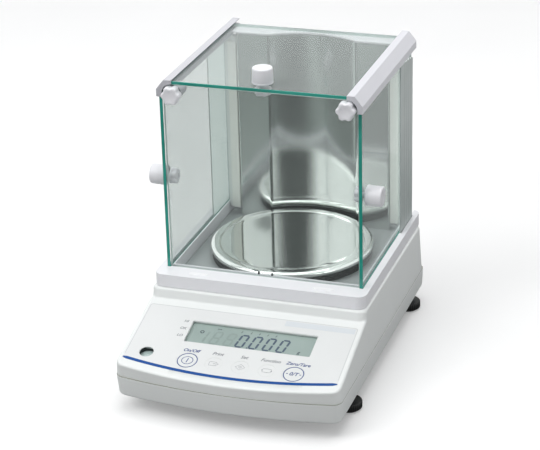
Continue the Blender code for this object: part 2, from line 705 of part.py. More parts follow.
KEY_FOOT = -KEY_CAP_THICK - KEY_FLANGE_THICK - KEY_STEM_LENGTH
DOME_TOP = KEY_FOOT - KEY_TRAVEL - SEAT_GAP / 3
KEY_BOARD_TOP = DOME_TOP - DOME_HEIGHT
key_board_reach = RING_KEY_RADIUS + KEY_FLANGE_LAP + KEY_BOARD_MARGIN
rib_half_length = ICON_KEY_RADIUS
for i, x in enumerate(KEY_X[:-1]):
    rib_x = x + KEY_PITCH / 2
    rib = box(
        f"key_rib_{i}",
        None,
        (rib_x - RIB_HALF, rib_x + RIB_HALF),
        (KEY_S - rib_half_length, KEY_S + rib_half_length),
        (KEY_BOARD_TOP + SEAT_GAP, JOIN_OVERLAP - CASE_WALL),
        cutter=True,
    )
    place(rib, parent=CONSOLE)
    join(upper_case, rib)

# Screw posts that hang from the upper case, the spindle hole and the rear sockets
for i, (x, y) in enumerate(SCREWS):
    front_edge = y - SCREW_BOSS_RADIUS
    roof = console_height(front_edge, POCKET + SEAT_GAP) if y < RISER_Y else CASE_TOP_Z - CASE_WALL / 2
    low = CASE_SEAM_Z + SEAT_GAP
    post = lathe(
        f"screw_post_{i}", None, [(SCREW_BOSS_RADIUS, roof), (SCREW_BOSS_RADIUS, low)], SMALL_STEPS, True
    )
    bore_radius = SCREW_RADIUS + SEAT_GAP
    bore = lathe(
        f"screw_thread_{i}",
        None,
        [(bore_radius, SCREW_TOP_Z + SEAT_GAP), (bore_radius, low - CUT_MARGIN)],
        SMALL_STEPS,
        True,
    )
    place(post, (x, y, 0))
    place(bore, (x, y, 0))
    join(upper_case, post)
    cut(upper_case, bore)
spindle_hole = lathe(
    "spindle_hole",
    None,
    [(SPINDLE_HOLE_RADIUS, CASE_TOP_Z + CUT_MARGIN), (SPINDLE_HOLE_RADIUS, hollow_top_z - CUT_MARGIN)],
    cutter=True,
)
place(spindle_hole, (0, PAN_Y, 0))
board_top = BOARD_Z + BOARD_THICK
socket_low = board_top + SEAT_GAP
jack_z = (socket_low, socket_low + JACK_HEIGHT)
shell_low = socket_low + (PORT_HEIGHT - PORT_SHELL_HEIGHT) / 2
shell_z = (shell_low, shell_low + PORT_SHELL_HEIGHT)


def wall_hole(name, x, half, z):
    """A window through the rear wall for a socket, with clearance all round."""
    return box(
        name,
        None,
        (x - half - SEAT_GAP, x + half + SEAT_GAP),
        (case_rear(CASE_TOP_Z) - 2 * CASE_WALL, HALF_DEPTH + CUT_MARGIN),
        (z[0] - SEAT_GAP, z[1] + SEAT_GAP),
        cutter=True,
    )


cut(
    upper_case,
    spindle_hole,
    wall_hole("jack_hole", JACK_X, JACK_HALF, jack_z),
    wall_hole("port_hole", PORT_X, PORT_SHELL_HALF, shell_z),
)

# Panel film with its windows
film_loops = [film_outline(0), lcd_opening, circle((LEVEL_X, LEVEL_S), LEVEL_HOLE_RADIUS, SMALL_STEPS)]
for x, radius in zip(KEY_X, KEY_RADII):
    film_loops.append(circle((x, KEY_S), radius + KEY_GAP))
panel_film = plate("panel_film", FILM, film_loops, -FILM_THICK, 0)
place(panel_film, parent=CONSOLE)

# Display: a clear window against the roof of the console, and the module behind it
lap_x = (LCD_LEFT - LCD_LAP, LCD_RIGHT + LCD_LAP)
lap_s = (LCD_BOTTOM_S - LCD_LAP, LCD_TOP_S + LCD_LAP)
window_top = -CASE_WALL - SEAT_GAP
module_top = window_top - LCD_WINDOW_THICK - SEAT_GAP
lcd_window = plate(
    "lcd_window", CLEAR, [rectangle(lap_x, lap_s, LCD_CORNER)], window_top - LCD_WINDOW_THICK, window_top
)
lcd_module = box("lcd_module", LCD_GLASS, lap_x, lap_s, (module_top - LCD_MODULE_THICK, module_top))
place(lcd_window, parent=CONSOLE)
place(lcd_module, parent=CONSOLE)

# Keys, each a cap flush with the film, a flange under the roof and a stem over its dome
for key_name, x, radius in zip(KEYS, KEY_X, KEY_RADII):
    flange = radius + KEY_FLANGE_LAP
    flange_low = -KEY_CAP_THICK - KEY_FLANGE_THICK
    steps = [
        (radius, 0),
        (radius, -KEY_CAP_THICK),
        (flange, -KEY_CAP_THICK),
        (flange, flange_low),
        (KEY_STEM_RADIUS, flange_low),
        (KEY_STEM_RADIUS, KEY_FOOT),
    ]
    place(lathe(key_name, KEY_FILM, steps), (x, KEY_S, 0), parent=CONSOLE)

key_board = box(
    "key_board",
    BOARD,
    (KEY_X[0] - key_board_reach, KEY_X[-1] + key_board_reach),
    (KEY_S - key_board_reach, KEY_S + key_board_reach),
    (KEY_BOARD_TOP - BOARD_THICK, KEY_BOARD_TOP),
)
place(key_board, parent=CONSOLE)
for i, x in enumerate(KEY_X):
    steps = [(DOME_RADIUS, DOME_TOP), (DOME_RADIUS, KEY_BOARD_TOP - JOIN_OVERLAP)]
    dome = lathe(f"key_dome_{i}", None, steps, SMALL_STEPS, True)
    place(dome, (x, KEY_S, 0), parent=CONSOLE)
    join(key_board, dome)

# Spirit level: a cup under the console and the domed lens in it
cup_top = -CASE_WALL - SEAT_GAP
cup_bore = LEVEL_CUP_RADIUS - LEVEL_CUP_WALL
cup_floor = cup_top - LEVEL_CUP_HEIGHT + LEVEL_CUP_WALL
level_cup = turned(
    "level_cup",
    BLACK,
    [
        (0, cup_floor),
        (cup_bore, cup_floor),
        (cup_bore, cup_top),
        (LEVEL_CUP_RADIUS, cup_top),
        (LEVEL_CUP_RADIUS, cup_top - LEVEL_CUP_HEIGHT),
        (0, cup_top - LEVEL_CUP_HEIGHT),
    ],
    SMALL_STEPS,
)
lens_radius = cup_bore - SEAT_GAP
lens_low = cup_floor + SEAT_GAP
level_vial = lathe(
    "level_vial",
    CLEAR,
    [
        (lens_radius * 0.6, lens_low + LEVEL_LENS_HEIGHT),
        (lens_radius, lens_low + LEVEL_LENS_HEIGHT * 0.8),
        (lens_radius, lens_low),
    ],
    SMALL_STEPS,
)
for part in (level_cup, level_vial):
    place(part, (LEVEL_X, LEVEL_S, 0), parent=CONSOLE)

# Draft shield tray, a frame with grooves for the glass
tray_outer = rectangle((-TRAY_HALF_WIDTH, TRAY_HALF_WIDTH), (TRAY_FRONT_Y, TRAY_REAR_Y), TRAY_CORNER)
tray_inner = rectangle(
    (-CHAMBER_HALF_WIDTH, CHAMBER_HALF_WIDTH), (CHAMBER_FRONT_Y, SHELF_REAR_Y), TRAY_INNER_CORNER
)
tray_loops = [tray_outer, tray_inner]
windshield_tray = plate("windshield_tray", SHIELD_PLASTIC, tray_loops, TRAY_BOTTOM_Z, TRAY_TOP_Z)
groove_inner = SIDE_GLASS_INNER - SLIDE_GAP
groove_outer = SIDE_GLASS_OUTER + SLIDE_GAP
guide_outer = groove_outer + GUIDE_THICK
front_glass_half = groove_inner
for side, sign in SIDES:
    groove = box(
        f"{side}_door_groove",
        None,
        sorted((sign * groove_inner, sign * groove_outer)),
        (DOOR_FRONT_Y - SEAT_GAP, TRAY_REAR_Y + CUT_MARGIN),
        (GROOVE_FLOOR_Z, TRAY_TOP_Z + CUT_MARGIN),
        cutter=True,
    )
    guide_slot = box(
        f"{side}_guide_slot",
        None,
        sorted((sign * (groove_outer - JOIN_OVERLAP), sign * (guide_outer + SEAT_GAP))),
        (GUIDE_FRONT_Y - SEAT_GAP, GUIDE_REAR_Y + SEAT_GAP),
        (TRAY_TOP_Z - GUIDE_SEAT_DEPTH - SEAT_GAP, TRAY_TOP_Z + CUT_MARGIN),
        cutter=True,
    )
    cut(windshield_tray, groove, guide_slot)
front_groove = box(
    "front_groove",
    None,
    (-front_glass_half - SEAT_GAP, front_glass_half + SEAT_GAP),
    (FRONT_GLASS_Y - SEAT_GAP, GLASS_BACK_Y + SEAT_GAP),
    (TRAY_TOP_Z - FRONT_GROOVE_DEPTH, TRAY_TOP_Z + CUT_MARGIN),
    cutter=True,
)
cut(windshield_tray, front_groove)

# Two small stops on the sill behind the front glass
stop_radius = (CHAMBER_FRONT_Y - GLASS_BACK_Y - 2 * SEAT_GAP) / 2 - SEAT_GAP

stop_y = GLASS_BACK_Y + SEAT_GAP + stop_radius
for side, sign in SIDES:
    steps = [(stop_radius, TRAY_TOP_Z + GLASS_STOP_HEIGHT), (stop_radius, TRAY_TOP_Z - JOIN_OVERLAP)]
    glass_stop = lathe(f"{side}_glass_stop", None, steps, SMALL_STEPS, True)
    place(glass_stop, (sign * GLASS_STOP_X, stop_y, 0))
    join(windshield_tray, glass_stop)

# Glass: fixed front pane, two side doors and the top door
front_glass_top = TOP_GLASS_Z - FRONT_GLASS_TOP_GAP
front_glass_bottom = TRAY_TOP_Z - FRONT_GROOVE_DEPTH + SEAT_GAP
corner = front_glass_top - CORNER_Z
right_corner = arc((front_glass_half - corner, CORNER_Z), corner, 0, 90, ARC_STEPS)
front_outline = [(-front_glass_half, front_glass_bottom), (front_glass_half, front_glass_bottom)]
front_outline += right_corner + [(-x, z) for x, z in reversed(right_corner)]
stem_hole = CORNER_STEM_RADIUS + SEAT_GAP
front_loops = [front_outline]
front_loops += [circle((sign * CORNER_X, CORNER_Z), stem_hole, SMALL_STEPS) for _, sign in SIDES]
plate("front_glass", GLASS, front_loops, FRONT_GLASS_Y, GLASS_BACK_Y, "Y")

PULL_Y = GLASS_BACK_Y + SEAT_GAP + PULL_NUT_GAP + PULL_NUT_RADIUS
pull_hole = PULL_STEM_RADIUS + SEAT_GAP
door_top = RAIL_BOTTOM_Z + SIDE_GROOVE_RISE - SEAT_GAP
door_bottom = GROOVE_FLOOR_Z + SEAT_GAP
door_loops = [
    rectangle((DOOR_FRONT_Y, DOOR_REAR_Y), (door_bottom, door_top)),
    circle((PULL_Y, SIDE_PULL_Z), pull_hole, SMALL_STEPS),
]
for side, sign in SIDES:
    low, high = sorted((sign * SIDE_GLASS_INNER, sign * SIDE_GLASS_OUTER))
    plate(f"{side}_door_glass", GLASS, door_loops, low, high, "X")
top_loops = [
    rectangle((-TOP_GLASS_HALF, TOP_GLASS_HALF), (SHIELD_FRONT_Y, SHIELD_FRONT_Y + DOOR_GLASS_LENGTH)),
    circle((0, PULL_Y), pull_hole, SMALL_STEPS),
]
plate("top_door_glass", GLASS, top_loops, TOP_GLASS_Z, TOP_GLASS_TOP)

# Rails, with a groove below for the side door and one inside for the top door
top_groove_low = TOP_GLASS_Z - SLIDE_GAP
top_groove_high = TOP_GLASS_TOP + SLIDE_GAP
top_groove_end = TOP_GLASS_HALF + SLIDE_GAP
side_groove_top = RAIL_BOTTOM_Z + SIDE_GROOVE_RISE
rail_section = [
    (RAIL_HALF_INNER, RAIL_TOP_Z),
    (RAIL_HALF_CREST, RAIL_TOP_Z),
    (RAIL_HALF_OUTER, RAIL_SHOULDER_Z),
    (RAIL_HALF_OUTER, RAIL_BOTTOM_Z),
    (groove_outer, RAIL_BOTTOM_Z),
    (groove_outer, side_groove_top),
    (groove_inner, side_groove_top),
    (groove_inner, RAIL_BOTTOM_Z),
    (RAIL_FLANGE_INNER, RAIL_BOTTOM_Z),
    (RAIL_FLANGE_INNER, RAIL_SOFFIT_Z),
    (RAIL_HALF_INNER, RAIL_SOFFIT_Z),
    (RAIL_HALF_INNER, top_groove_low),
    (top_groove_end, top_groove_low),
    (top_groove_end, top_groove_high),
    (RAIL_HALF_INNER, top_groove_high),
]
rail_end_section = [
    (RAIL_HALF_INNER, RAIL_TOP_Z),
    (RAIL_HALF_CREST, RAIL_TOP_Z),
    (RAIL_HALF_OUTER, RAIL_SHOULDER_Z),
    (RAIL_HALF_OUTER, RAIL_BOTTOM_Z),
    (RAIL_FLANGE_INNER, RAIL_BOTTOM_Z),
    (RAIL_FLANGE_INNER, CORNER_Z),
    (RAIL_HALF_INNER, CORNER_Z),
]
rail_end_y = (SHIELD_FRONT_Y - RAIL_END_THICK, SHIELD_FRONT_Y - SEAT_GAP)
rail_front_y = SHIELD_FRONT_Y - RAIL_END_THICK / 2
boss_front_y = GLASS_BACK_Y + SEAT_GAP
boss_rear_y = boss_front_y + CORNER_BOSS_LENGTH
for side, sign in SIDES:
    section = [(sign * x, z) for x, z in rail_section]
    rail = plate(f"{side}_rail", SHIELD_PLASTIC, [section], rail_front_y, RAIL_REAR_Y, "Y")
    axis = (sign * CORNER_X, CORNER_Z)
    cup = plate(
        f"{side}_knob_cup",
        None,
        [circle(axis, CORNER_CUP_RADIUS)],
        SHIELD_FRONT_Y - CUT_MARGIN,
        boss_front_y,
        "Y",
        cutter=True,
    )
    seat = plate(
        f"{side}_boss_seat",
        None,
        [circle(axis, CORNER_BOSS_RADIUS + SEAT_GAP)],
        boss_front_y - JOIN_OVERLAP,
        boss_rear_y + SEAT_GAP,
        "Y",
        cutter=True,
    )
    cut(rail, cup, seat)
    end_section = [(sign * x, z) for x, z in rail_end_section]
    rail_end = plate(f"{side}_rail_end", None, [end_section], *rail_end_y, "Y", cutter=True)
    join(rail, rail_end)
    end_cup = plate(
        f"{side}_end_cup",
        None,
        [circle(axis, RAIL_END_CUP_RADIUS)],
        rail_end_y[0] - CUT_MARGIN,
        SHIELD_FRONT_Y,
        "Y",
        cutter=True,
    )
    cut(rail, end_cup)
    boss_loops = [circle(axis, CORNER_BOSS_RADIUS), circle(axis, stem_hole, SMALL_STEPS)]
    plate(f"{side}_corner_boss", SHIELD_PLASTIC, boss_loops, boss_front_y, boss_rear_y, "Y")

    # Thumb screw: a lobed head in front of the glass and its threaded stem
    head_rear = FRONT_GLASS_Y - SEAT_GAP
    head = lobed(CORNER_KNOB_RADIUS, LOBE_DEPTH, KNOB_LOBES)
    knob = plate(f"{side}_corner_knob", SHIELD_PLASTIC, [head], -CORNER_KNOB_LENGTH, 0, "Y")
    stem = plate(
        f"{side}_knob_stem",
        None,
        [circle((0, 0), CORNER_STEM_RADIUS, SMALL_STEPS)],
        -JOIN_OVERLAP,
        CORNER_STEM_LENGTH,
        "Y",
        cutter=True,
    )
    knob_origin = (sign * CORNER_X, head_rear, CORNER_Z)
    place(knob, knob_origin)
    place(stem, knob_origin)
    join(knob, stem)

# Door pulls: a turned grip outside, its stem through the glass, and a lobed nut inside
nut_face = -GLASS_THICK - 2 * SEAT_GAP
pull_steps = [
    (PULL_RADIUS_NARROW - PULL_EDGE, PULL_NECK_LENGTH + PULL_LENGTH),
    (PULL_RADIUS_NARROW, PULL_NECK_LENGTH + PULL_LENGTH - PULL_EDGE),
    (PULL_RADIUS_WIDE, PULL_NECK_LENGTH),
    (PULL_NECK_RADIUS, PULL_NECK_LENGTH),
    (PULL_NECK_RADIUS, 0),
    (PULL_STEM_RADIUS, 0),
    (PULL_STEM_RADIUS, nut_face - PULL_NUT_LENGTH + PULL_NUT_GAP),
]
nut_loops = [
    lobed(PULL_NUT_RADIUS, LOBE_DEPTH, KNOB_LOBES),
    list(reversed(circle((0, 0), PULL_STEM_RADIUS + SEAT_GAP, SMALL_STEPS))),
]
PULLS = (
    ("top", (0, PULL_Y, TOP_GLASS_TOP + SEAT_GAP), (0, 0, 0)),
    ("left", (-SIDE_GLASS_OUTER - SEAT_GAP, PULL_Y, SIDE_PULL_Z), (0, -math.pi / 2, 0)),
    ("right", (SIDE_GLASS_OUTER + SEAT_GAP, PULL_Y, SIDE_PULL_Z), (0, math.pi / 2, 0)),
)
for where, origin, turn in PULLS:
    place(lathe(f"{where}_door_pull", SHIELD_PLASTIC, pull_steps), origin, turn)
    nut = plate(f"{where}_pull_nut", SHIELD_PLASTIC, nut_loops, nut_face - PULL_NUT_LENGTH, nut_face)
    place(nut, origin, turn)

# Back wall: a steel sheet bowed back in the middle to clear the pan, with side returns
bow_radius = (BACK_FOLD_X**2 + BACK_BOW**2) / (2 * BACK_BOW)
bow_swing = math.degrees(math.asin(BACK_FOLD_X / bow_radius))
bow_centre_y = BACK_FLAT_Y + BACK_BOW - bow_radius
return_rear_y = POST_REAR_Y


def back_line(offset):
    """The front line of the back wall in plan, moved back by offset."""
    bow = arc((0, bow_centre_y), bow_radius + offset, 90 + bow_swing, 90 - bow_swing, 14)
    inner = BACK_HALF_WIDTH - offset
    return [(-inner, BACK_FLAT_Y + offset), *bow, (inner, BACK_FLAT_Y + offset)]


front_line = [(-BACK_HALF_WIDTH, return_rear_y), *back_line(0), (BACK_HALF_WIDTH, return_rear_y)]
inner_half = BACK_HALF_WIDTH - BACK_SHEET
rear_line = [(-inner_half, return_rear_y), *back_line(BACK_SHEET), (inner_half, return_rear_y)]
floor_seat_z = CHAMBER_FLOOR_Z + SEAT_GAP
plate(
    "back_panel",
    STEEL,
    [front_line + list(reversed(rear_line))],
    floor_seat_z,
    CAP_BOTTOM_Z - SEAT_GAP,
)
cap_front = back_line(0)
cap_front[0] = (-CAP_HALF_WIDTH, cap_front[0][1])
cap_front[-1] = (CAP_HALF_WIDTH, cap_front[-1][1])
cap_outline = cap_front + [(CAP_HALF_WIDTH, CAP_REAR_Y), (-CAP_HALF_WIDTH, CAP_REAR_Y)]
plate("back_cap", SHIELD_PLASTIC, [cap_outline], CAP_BOTTOM_Z, CAP_TOP_Z)

# Rear posts with their seal strips, and the thin outer guides that the side doors run behind
seal_top = RAIL_SOFFIT_Z - SEAL_TOP_DROP
guide_low = TRAY_TOP_Z - GUIDE_SEAT_DEPTH
guide_top = RAIL_BOTTOM_Z - SEAT_GAP
notch_y = GUIDE_REAR_Y - GUIDE_NOTCH_LENGTH
guide_section = [
    (GUIDE_FRONT_Y, guide_low),
    (GUIDE_REAR_Y, guide_low),
    (GUIDE_REAR_Y, guide_top - GUIDE_NOTCH_DROP),
    (notch_y, guide_top),
    (GUIDE_FRONT_Y, guide_top),
]
for side, sign in SIDES:
    post_x = sorted((sign * POST_INNER_X, sign * POST_OUTER_X))
    post_z = (floor_seat_z + SEAL_LIFT, RAIL_SOFFIT_Z - SEAT_GAP)
    box(f"{side}_rear_post", POST_PLASTIC, post_x, (POST_FRONT_Y, POST_REAR_Y), post_z)
    seal_x = sorted((sign * POST_INNER_X, sign * (POST_INNER_X + SEAL_WIDTH)))
    seal_y = (POST_FRONT_Y - SEAT_GAP - SEAL_THICK, POST_FRONT_Y - SEAT_GAP)
    box(f"{side}_seal_strip", SEAL, seal_x, seal_y, (floor_seat_z + SEAL_LIFT, seal_top))
    guide_x = sorted((sign * groove_outer, sign * guide_outer))
    plate(f"{side}_door_guide", POST_PLASTIC, [guide_section], *guide_x, "X")

# Weighing pan, a pressed disc with a wide rounded shoulder and a skirt, over the black draft ring
pan_floor_z = PAN_RIM_Z - PAN_FLOOR_DROP
pan_profile = [
    (0, pan_floor_z),
    (PAN_FLOOR_RADIUS, pan_floor_z),
    (PAN_FLOOR_RADIUS + 2 * PAN_SHEET, PAN_RIM_Z),
    (PAN_RIM_RADIUS, PAN_RIM_Z),
    (PAN_SKIRT_RADIUS - PAN_SHEET / 2, PAN_RIM_Z - PAN_SHOULDER_DROP),
    (PAN_SKIRT_RADIUS, PAN_SKIRT_Z + PAN_SHEET),
    (PAN_SKIRT_RADIUS, PAN_SKIRT_Z),
    (PAN_SKIRT_RADIUS - PAN_SHEET, PAN_SKIRT_Z),
    (PAN_RIM_RADIUS - PAN_SHEET, pan_floor_z - PAN_SHEET),
    (0, pan_floor_z - PAN_SHEET),
]
place(turned("weighing_pan", STEEL, pan_profile, PAN_STEPS), (0, PAN_Y, 0))
ring_loops = [circle((0, 0), RING_OUTER_RADIUS, PAN_STEPS), circle((0, 0), RING_INNER_RADIUS, PAN_STEPS)]
place(plate("draft_ring", BLACK, ring_loops, floor_seat_z, RING_TOP_Z), (0, PAN_Y, 0))

# Pan support: a four-armed spider on a spindle that stands on the live block
spider_top = pan_floor_z - PAN_SHEET - SEAT_GAP
spider_low = spider_top - SPIDER_THICK
spindle_low = BLOCK_TOP_Z + SEAT_GAP
pan_support = lathe(
    "pan_support",
    ALUMINIUM,
    [
        (HUB_RADIUS, spider_top),
        (HUB_RADIUS, spider_low),
        (SPINDLE_RADIUS, spider_low),
        (SPINDLE_RADIUS, spindle_low),
    ],
)
place(pan_support, (0, PAN_Y, 0))
arm_z = (spider_low + SEAT_GAP, spider_top - SEAT_GAP)
arm = (-SPIDER_HALF_ARM, SPIDER_HALF_ARM)
span = (-SPIDER_RADIUS, SPIDER_RADIUS)
spider = box("spider_across", None, span, arm, arm_z, cutter=True)
spider_deep = box("spider_deep", None, arm, span, arm_z, cutter=True)
for bar in (spider, spider_deep):
    place(bar, (0, PAN_Y, 0))
    join(pan_support, bar)

# Weighing mechanism on its cast chassis
chassis_outline = rectangle(
    (-CHASSIS_HALF_WIDTH, CHASSIS_HALF_WIDTH), (CHASSIS_FRONT_Y, CHASSIS_REAR_Y), CHASSIS_CORNER
)
plate("chassis", ALUMINIUM, [chassis_outline], CHASSIS_BOTTOM_Z, CHASSIS_TOP_Z)
block_x = (-BLOCK_HALF_WIDTH, BLOCK_HALF_WIDTH)
live_front = PAN_Y - LIVE_BLOCK_HALF_DEPTH
box(
    "fixed_block",
    ALUMINIUM,
    block_x,
    (FIXED_BLOCK_REAR_Y - FIXED_BLOCK_DEPTH, FIXED_BLOCK_REAR_Y),
    (CHASSIS_TOP_Z + SEAT_GAP, BLOCK_TOP_Z),
)
live_low = CHASSIS_TOP_Z + LIVE_BLOCK_LIFT
live_y = (live_front, live_front + 2 * LIVE_BLOCK_HALF_DEPTH)
box("live_block", ALUMINIUM, block_x, live_y, (live_low, BLOCK_TOP_Z))
beam_y = (FIXED_BLOCK_REAR_Y + SEAT_GAP, live_front - FLEX_GAP)


def beam_section(low):
    """Side view of a guide beam, thinned to a flexure near each end."""
    high = low + BEAM_THICK
    waist = (low + high) / 2
    top = [(beam_y[0], high)]
    for start in (beam_y[0] + BEAM_INSET, beam_y[1] - BEAM_INSET - BEAM_FLEXURE_LENGTH):
        end = start + BEAM_FLEXURE_LENGTH
        top += [(start, high), (start, waist + BEAM_FLEXURE / 2)]
        top += [(end, waist + BEAM_FLEXURE / 2), (end, high)]
    top.append((beam_y[1], high))
    return top + [(y, 2 * waist - z) for y, z in reversed(top)]


beam_reach = BLOCK_HALF_WIDTH - BEAM_INSET / 2
upper_beam_low = BLOCK_TOP_Z - BEAM_INSET - BEAM_THICK
lower_beam_low = live_low + BEAM_INSET
for beam_name, low in (("upper_beam", upper_beam_low), ("lower_beam", lower_beam_low)):
    plate(beam_name, ALUMINIUM, [beam_section(low)], -beam_reach, beam_reach, "X")

# Force path: the lever by the live block pulls on the tuning fork held by the fixed block
fork_front = FIXED_BLOCK_REAR_Y + SEAT_GAP
fork_rear = fork_front + FORK_LENGTH
lever_z = (upper_beam_low + lower_beam_low + BEAM_THICK - LEVER_HEIGHT) / 2
box(
    "lever",
    ALUMINIUM,
    (-LEVER_HALF_WIDTH, LEVER_HALF_WIDTH),
    (fork_rear + SEAT_GAP, live_front - FLEX_GAP),
    (lever_z, lever_z + LEVER_HEIGHT),
)
fork_loops = [
    rectangle((-FORK_HALF_WIDTH, FORK_HALF_WIDTH), (fork_front, fork_rear)),
    rectangle((-FORK_SLOT_HALF, FORK_SLOT_HALF), (fork_front + FORK_END, fork_rear - FORK_END)),
]
fork_low = lever_z + (LEVER_HEIGHT - FORK_THICK) / 2
plate("tuning_fork_sensor", STEEL, fork_loops, fork_low, fork_low + FORK_THICK)

# Main board with the power jack and the serial port
box(
    "main_board",
    BOARD,
    (-BOARD_HALF_WIDTH, BOARD_HALF_WIDTH),
    (BOARD_FRONT_Y, BOARD_REAR_Y),
    (BOARD_Z, board_top),
)
jack_rear = case_rear(jack_z[1]) - CASE_WALL / 2
jack_x = (JACK_X - JACK_HALF, JACK_X + JACK_HALF)
power_jack = box("power_jack", BLACK, jack_x, (jack_rear - JACK_LENGTH, jack_rear), jack_z)
jack_bore = plate(
    "jack_bore",
    None,
    [circle((JACK_X, (jack_z[0] + jack_z[1]) / 2), JACK_BORE, SMALL_STEPS)],
    jack_rear - JACK_DEPTH,
    jack_rear + CUT_MARGIN,
    "Y",
    cutter=True,
)
cut(power_jack, jack_bore)
port_face = case_rear(CASE_TOP_Z) - CASE_WALL - SEAT_GAP
port_z = (socket_low, socket_low + PORT_HEIGHT)
port_x = (PORT_X - PORT_HALF, PORT_X + PORT_HALF)
serial_port = box("serial_port", FASTENER, port_x, (port_face - PORT_LENGTH, port_face), port_z)
port_shell = box(
    "port_shell",
    None,
    (PORT_X - PORT_SHELL_HALF, PORT_X + PORT_SHELL_HALF),
    (port_face - JOIN_OVERLAP, case_rear(shell_z[0])),
    shell_z,
    cutter=True,
)
join(serial_port, port_shell)

# Levelling feet, each a wheel with a pad below and a threaded stud above
foot_steps = [
    (FOOT_STUD_RADIUS, FOOT_STUD_TOP),
    (FOOT_STUD_RADIUS, FOOT_WHEEL_TOP),
    (FOOT_RADIUS, FOOT_WHEEL_TOP),
    (FOOT_RADIUS, FOOT_PAD_HEIGHT),
    (FOOT_PAD_RADIUS, FOOT_PAD_HEIGHT),
    (FOOT_PAD_RADIUS, 0),
]
for foot_name, x, y in FEET:
    place(lathe(foot_name, BLACK, foot_steps, SMALL_STEPS), (x, y, 0))

# Screws that hold the case halves together
screw_seat = SCREW_SEAT_Z - SEAT_GAP
screw_steps = [
    (SCREW_RADIUS, SCREW_TOP_Z),
    (SCREW_RADIUS, screw_seat),
    (SCREW_HEAD_RADIUS, screw_seat),
    (SCREW_HEAD_RADIUS, screw_seat - SCREW_HEAD_HEIGHT),
]
for where, y in (("front", SCREW_FRONT_Y), ("rear", SCREW_REAR_Y)):
    for side, sign in SIDES:
        case_screw = lathe(f"{where}_{side}_case_screw", FASTENER, screw_steps, SMALL_STEPS)
        place(case_screw, (sign * SCREW_X, y, 0))
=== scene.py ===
"""Looks of a laboratory balance with a glass draft shield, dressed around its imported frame.

Sizes in the sections are in millimetres. Each piece is made in place and rides on its CAD body.
"""

import math

import bmesh
import bpy
import numpy as np
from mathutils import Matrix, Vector


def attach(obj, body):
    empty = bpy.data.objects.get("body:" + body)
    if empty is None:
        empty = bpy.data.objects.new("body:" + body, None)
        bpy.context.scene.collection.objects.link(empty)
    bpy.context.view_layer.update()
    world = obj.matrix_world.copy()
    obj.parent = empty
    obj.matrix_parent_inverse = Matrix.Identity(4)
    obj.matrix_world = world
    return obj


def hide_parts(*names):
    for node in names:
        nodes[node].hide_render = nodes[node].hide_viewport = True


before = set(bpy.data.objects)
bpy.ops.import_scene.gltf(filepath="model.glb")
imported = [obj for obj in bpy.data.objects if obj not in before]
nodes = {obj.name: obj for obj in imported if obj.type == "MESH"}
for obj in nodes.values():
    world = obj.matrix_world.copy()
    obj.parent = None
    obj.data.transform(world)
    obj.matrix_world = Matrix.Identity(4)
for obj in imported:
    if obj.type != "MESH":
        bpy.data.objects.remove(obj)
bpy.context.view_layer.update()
scene = bpy.context.scene


# Lower half of the case: an off-white moulded tub with a bowed front and a rounded bottom edge.
# It closes against the upper half at a fine seam and stands on four levelling feet.
MM = 0.001


def put(name, points, faces, body, slot, paints, stands_for=(), sharp=32):
    """Makes a piece from points in millimetres, smooth but for edges bent more than sharp degrees."""
    mesh = bpy.data.meshes.new(name)
    mesh.from_pydata((np.asarray(points, float) * MM).tolist(), [], faces)
    shape = bmesh.new()
    shape.from_mesh(mesh)
    bmesh.ops.remove_doubles(shape, verts=shape.verts, dist=2e-6)
    bmesh.ops.recalc_face_normals(shape, faces=shape.faces)
    shape.to_mesh(mesh)
    shape.free()
    mesh.polygons.foreach_set("use_smooth", np.ones(len(mesh.polygons), bool))
    mesh.set_sharp_from_angle(angle=math.radians(sharp))
    for finish in paints:
        mesh.materials.append(finish)
    piece = bpy.data.objects.new(name, mesh)
    scene.collection.objects.link(piece)
    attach(piece, body)
    if stands_for:
        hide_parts(*stands_for)
    return piece


def skin(rings, low_cap=True, high_cap=True, first=0):
    """Quads between closed rings, an array (sections, points, 3), with flat ends where asked."""
    count, around = rings.shape[:2]
    here = first + np.arange(count * around).reshape(count, around)
    over = np.roll(here, -1, axis=1)
    quads = np.stack([here[:-1], over[:-1], over[1:], here[1:]], axis=-1).reshape(-1, 4).tolist()
    if low_cap:
        quads.append(here[0][::-1].tolist())
    if high_cap:
        quads.append(here[-1].tolist())
    return rings.reshape(-1, 3), quads


def sweep_arc(centre, radius, start, end, steps):
    """Points on a circle's arc, start and end in degrees, as an array (steps + 1, 2)."""
    turn = np.radians(np.linspace(start, end, steps + 1))
    return np.asarray(centre) + radius * np.stack([np.cos(turn), np.sin(turn)], axis=1)


def case_plan(half, front, rear, front_round, rear_round):
    """The case's outline from above: a front bowed by 10 mm, straight sides and round corners."""
    bulge = 10.0
    bow = (half**2 + bulge**2) / (2 * bulge)
    reach = half - front_round
    swing = math.degrees(math.asin(reach / (bow - front_round)))
    corner_y = front + bow - math.sqrt((bow - front_round) ** 2 - reach**2)
    middle = sweep_arc((0, front + bow), bow, 270 - swing, 270 + swing, 40)
    right = sweep_arc((reach, corner_y), front_round, 270 + swing, 360, 10)[1:]
    left = right[::-1] * (-1, 1)
    rear_right = sweep_arc((half - rear_round, rear - rear_round), rear_round, 0, 90, 8)
    rear_left = sweep_arc((rear_round - half, rear - rear_round), rear_round, 90, 180, 8)
    return np.concatenate([middle, right, rear_right, rear_left, left])


def paint(name):
    """A new node material, with its tree and its Principled node."""
    finish = bpy.data.materials.new(name)
    finish.use_nodes = True
    tree = finish.node_tree
    return finish, tree, tree.nodes["Principled BSDF"]


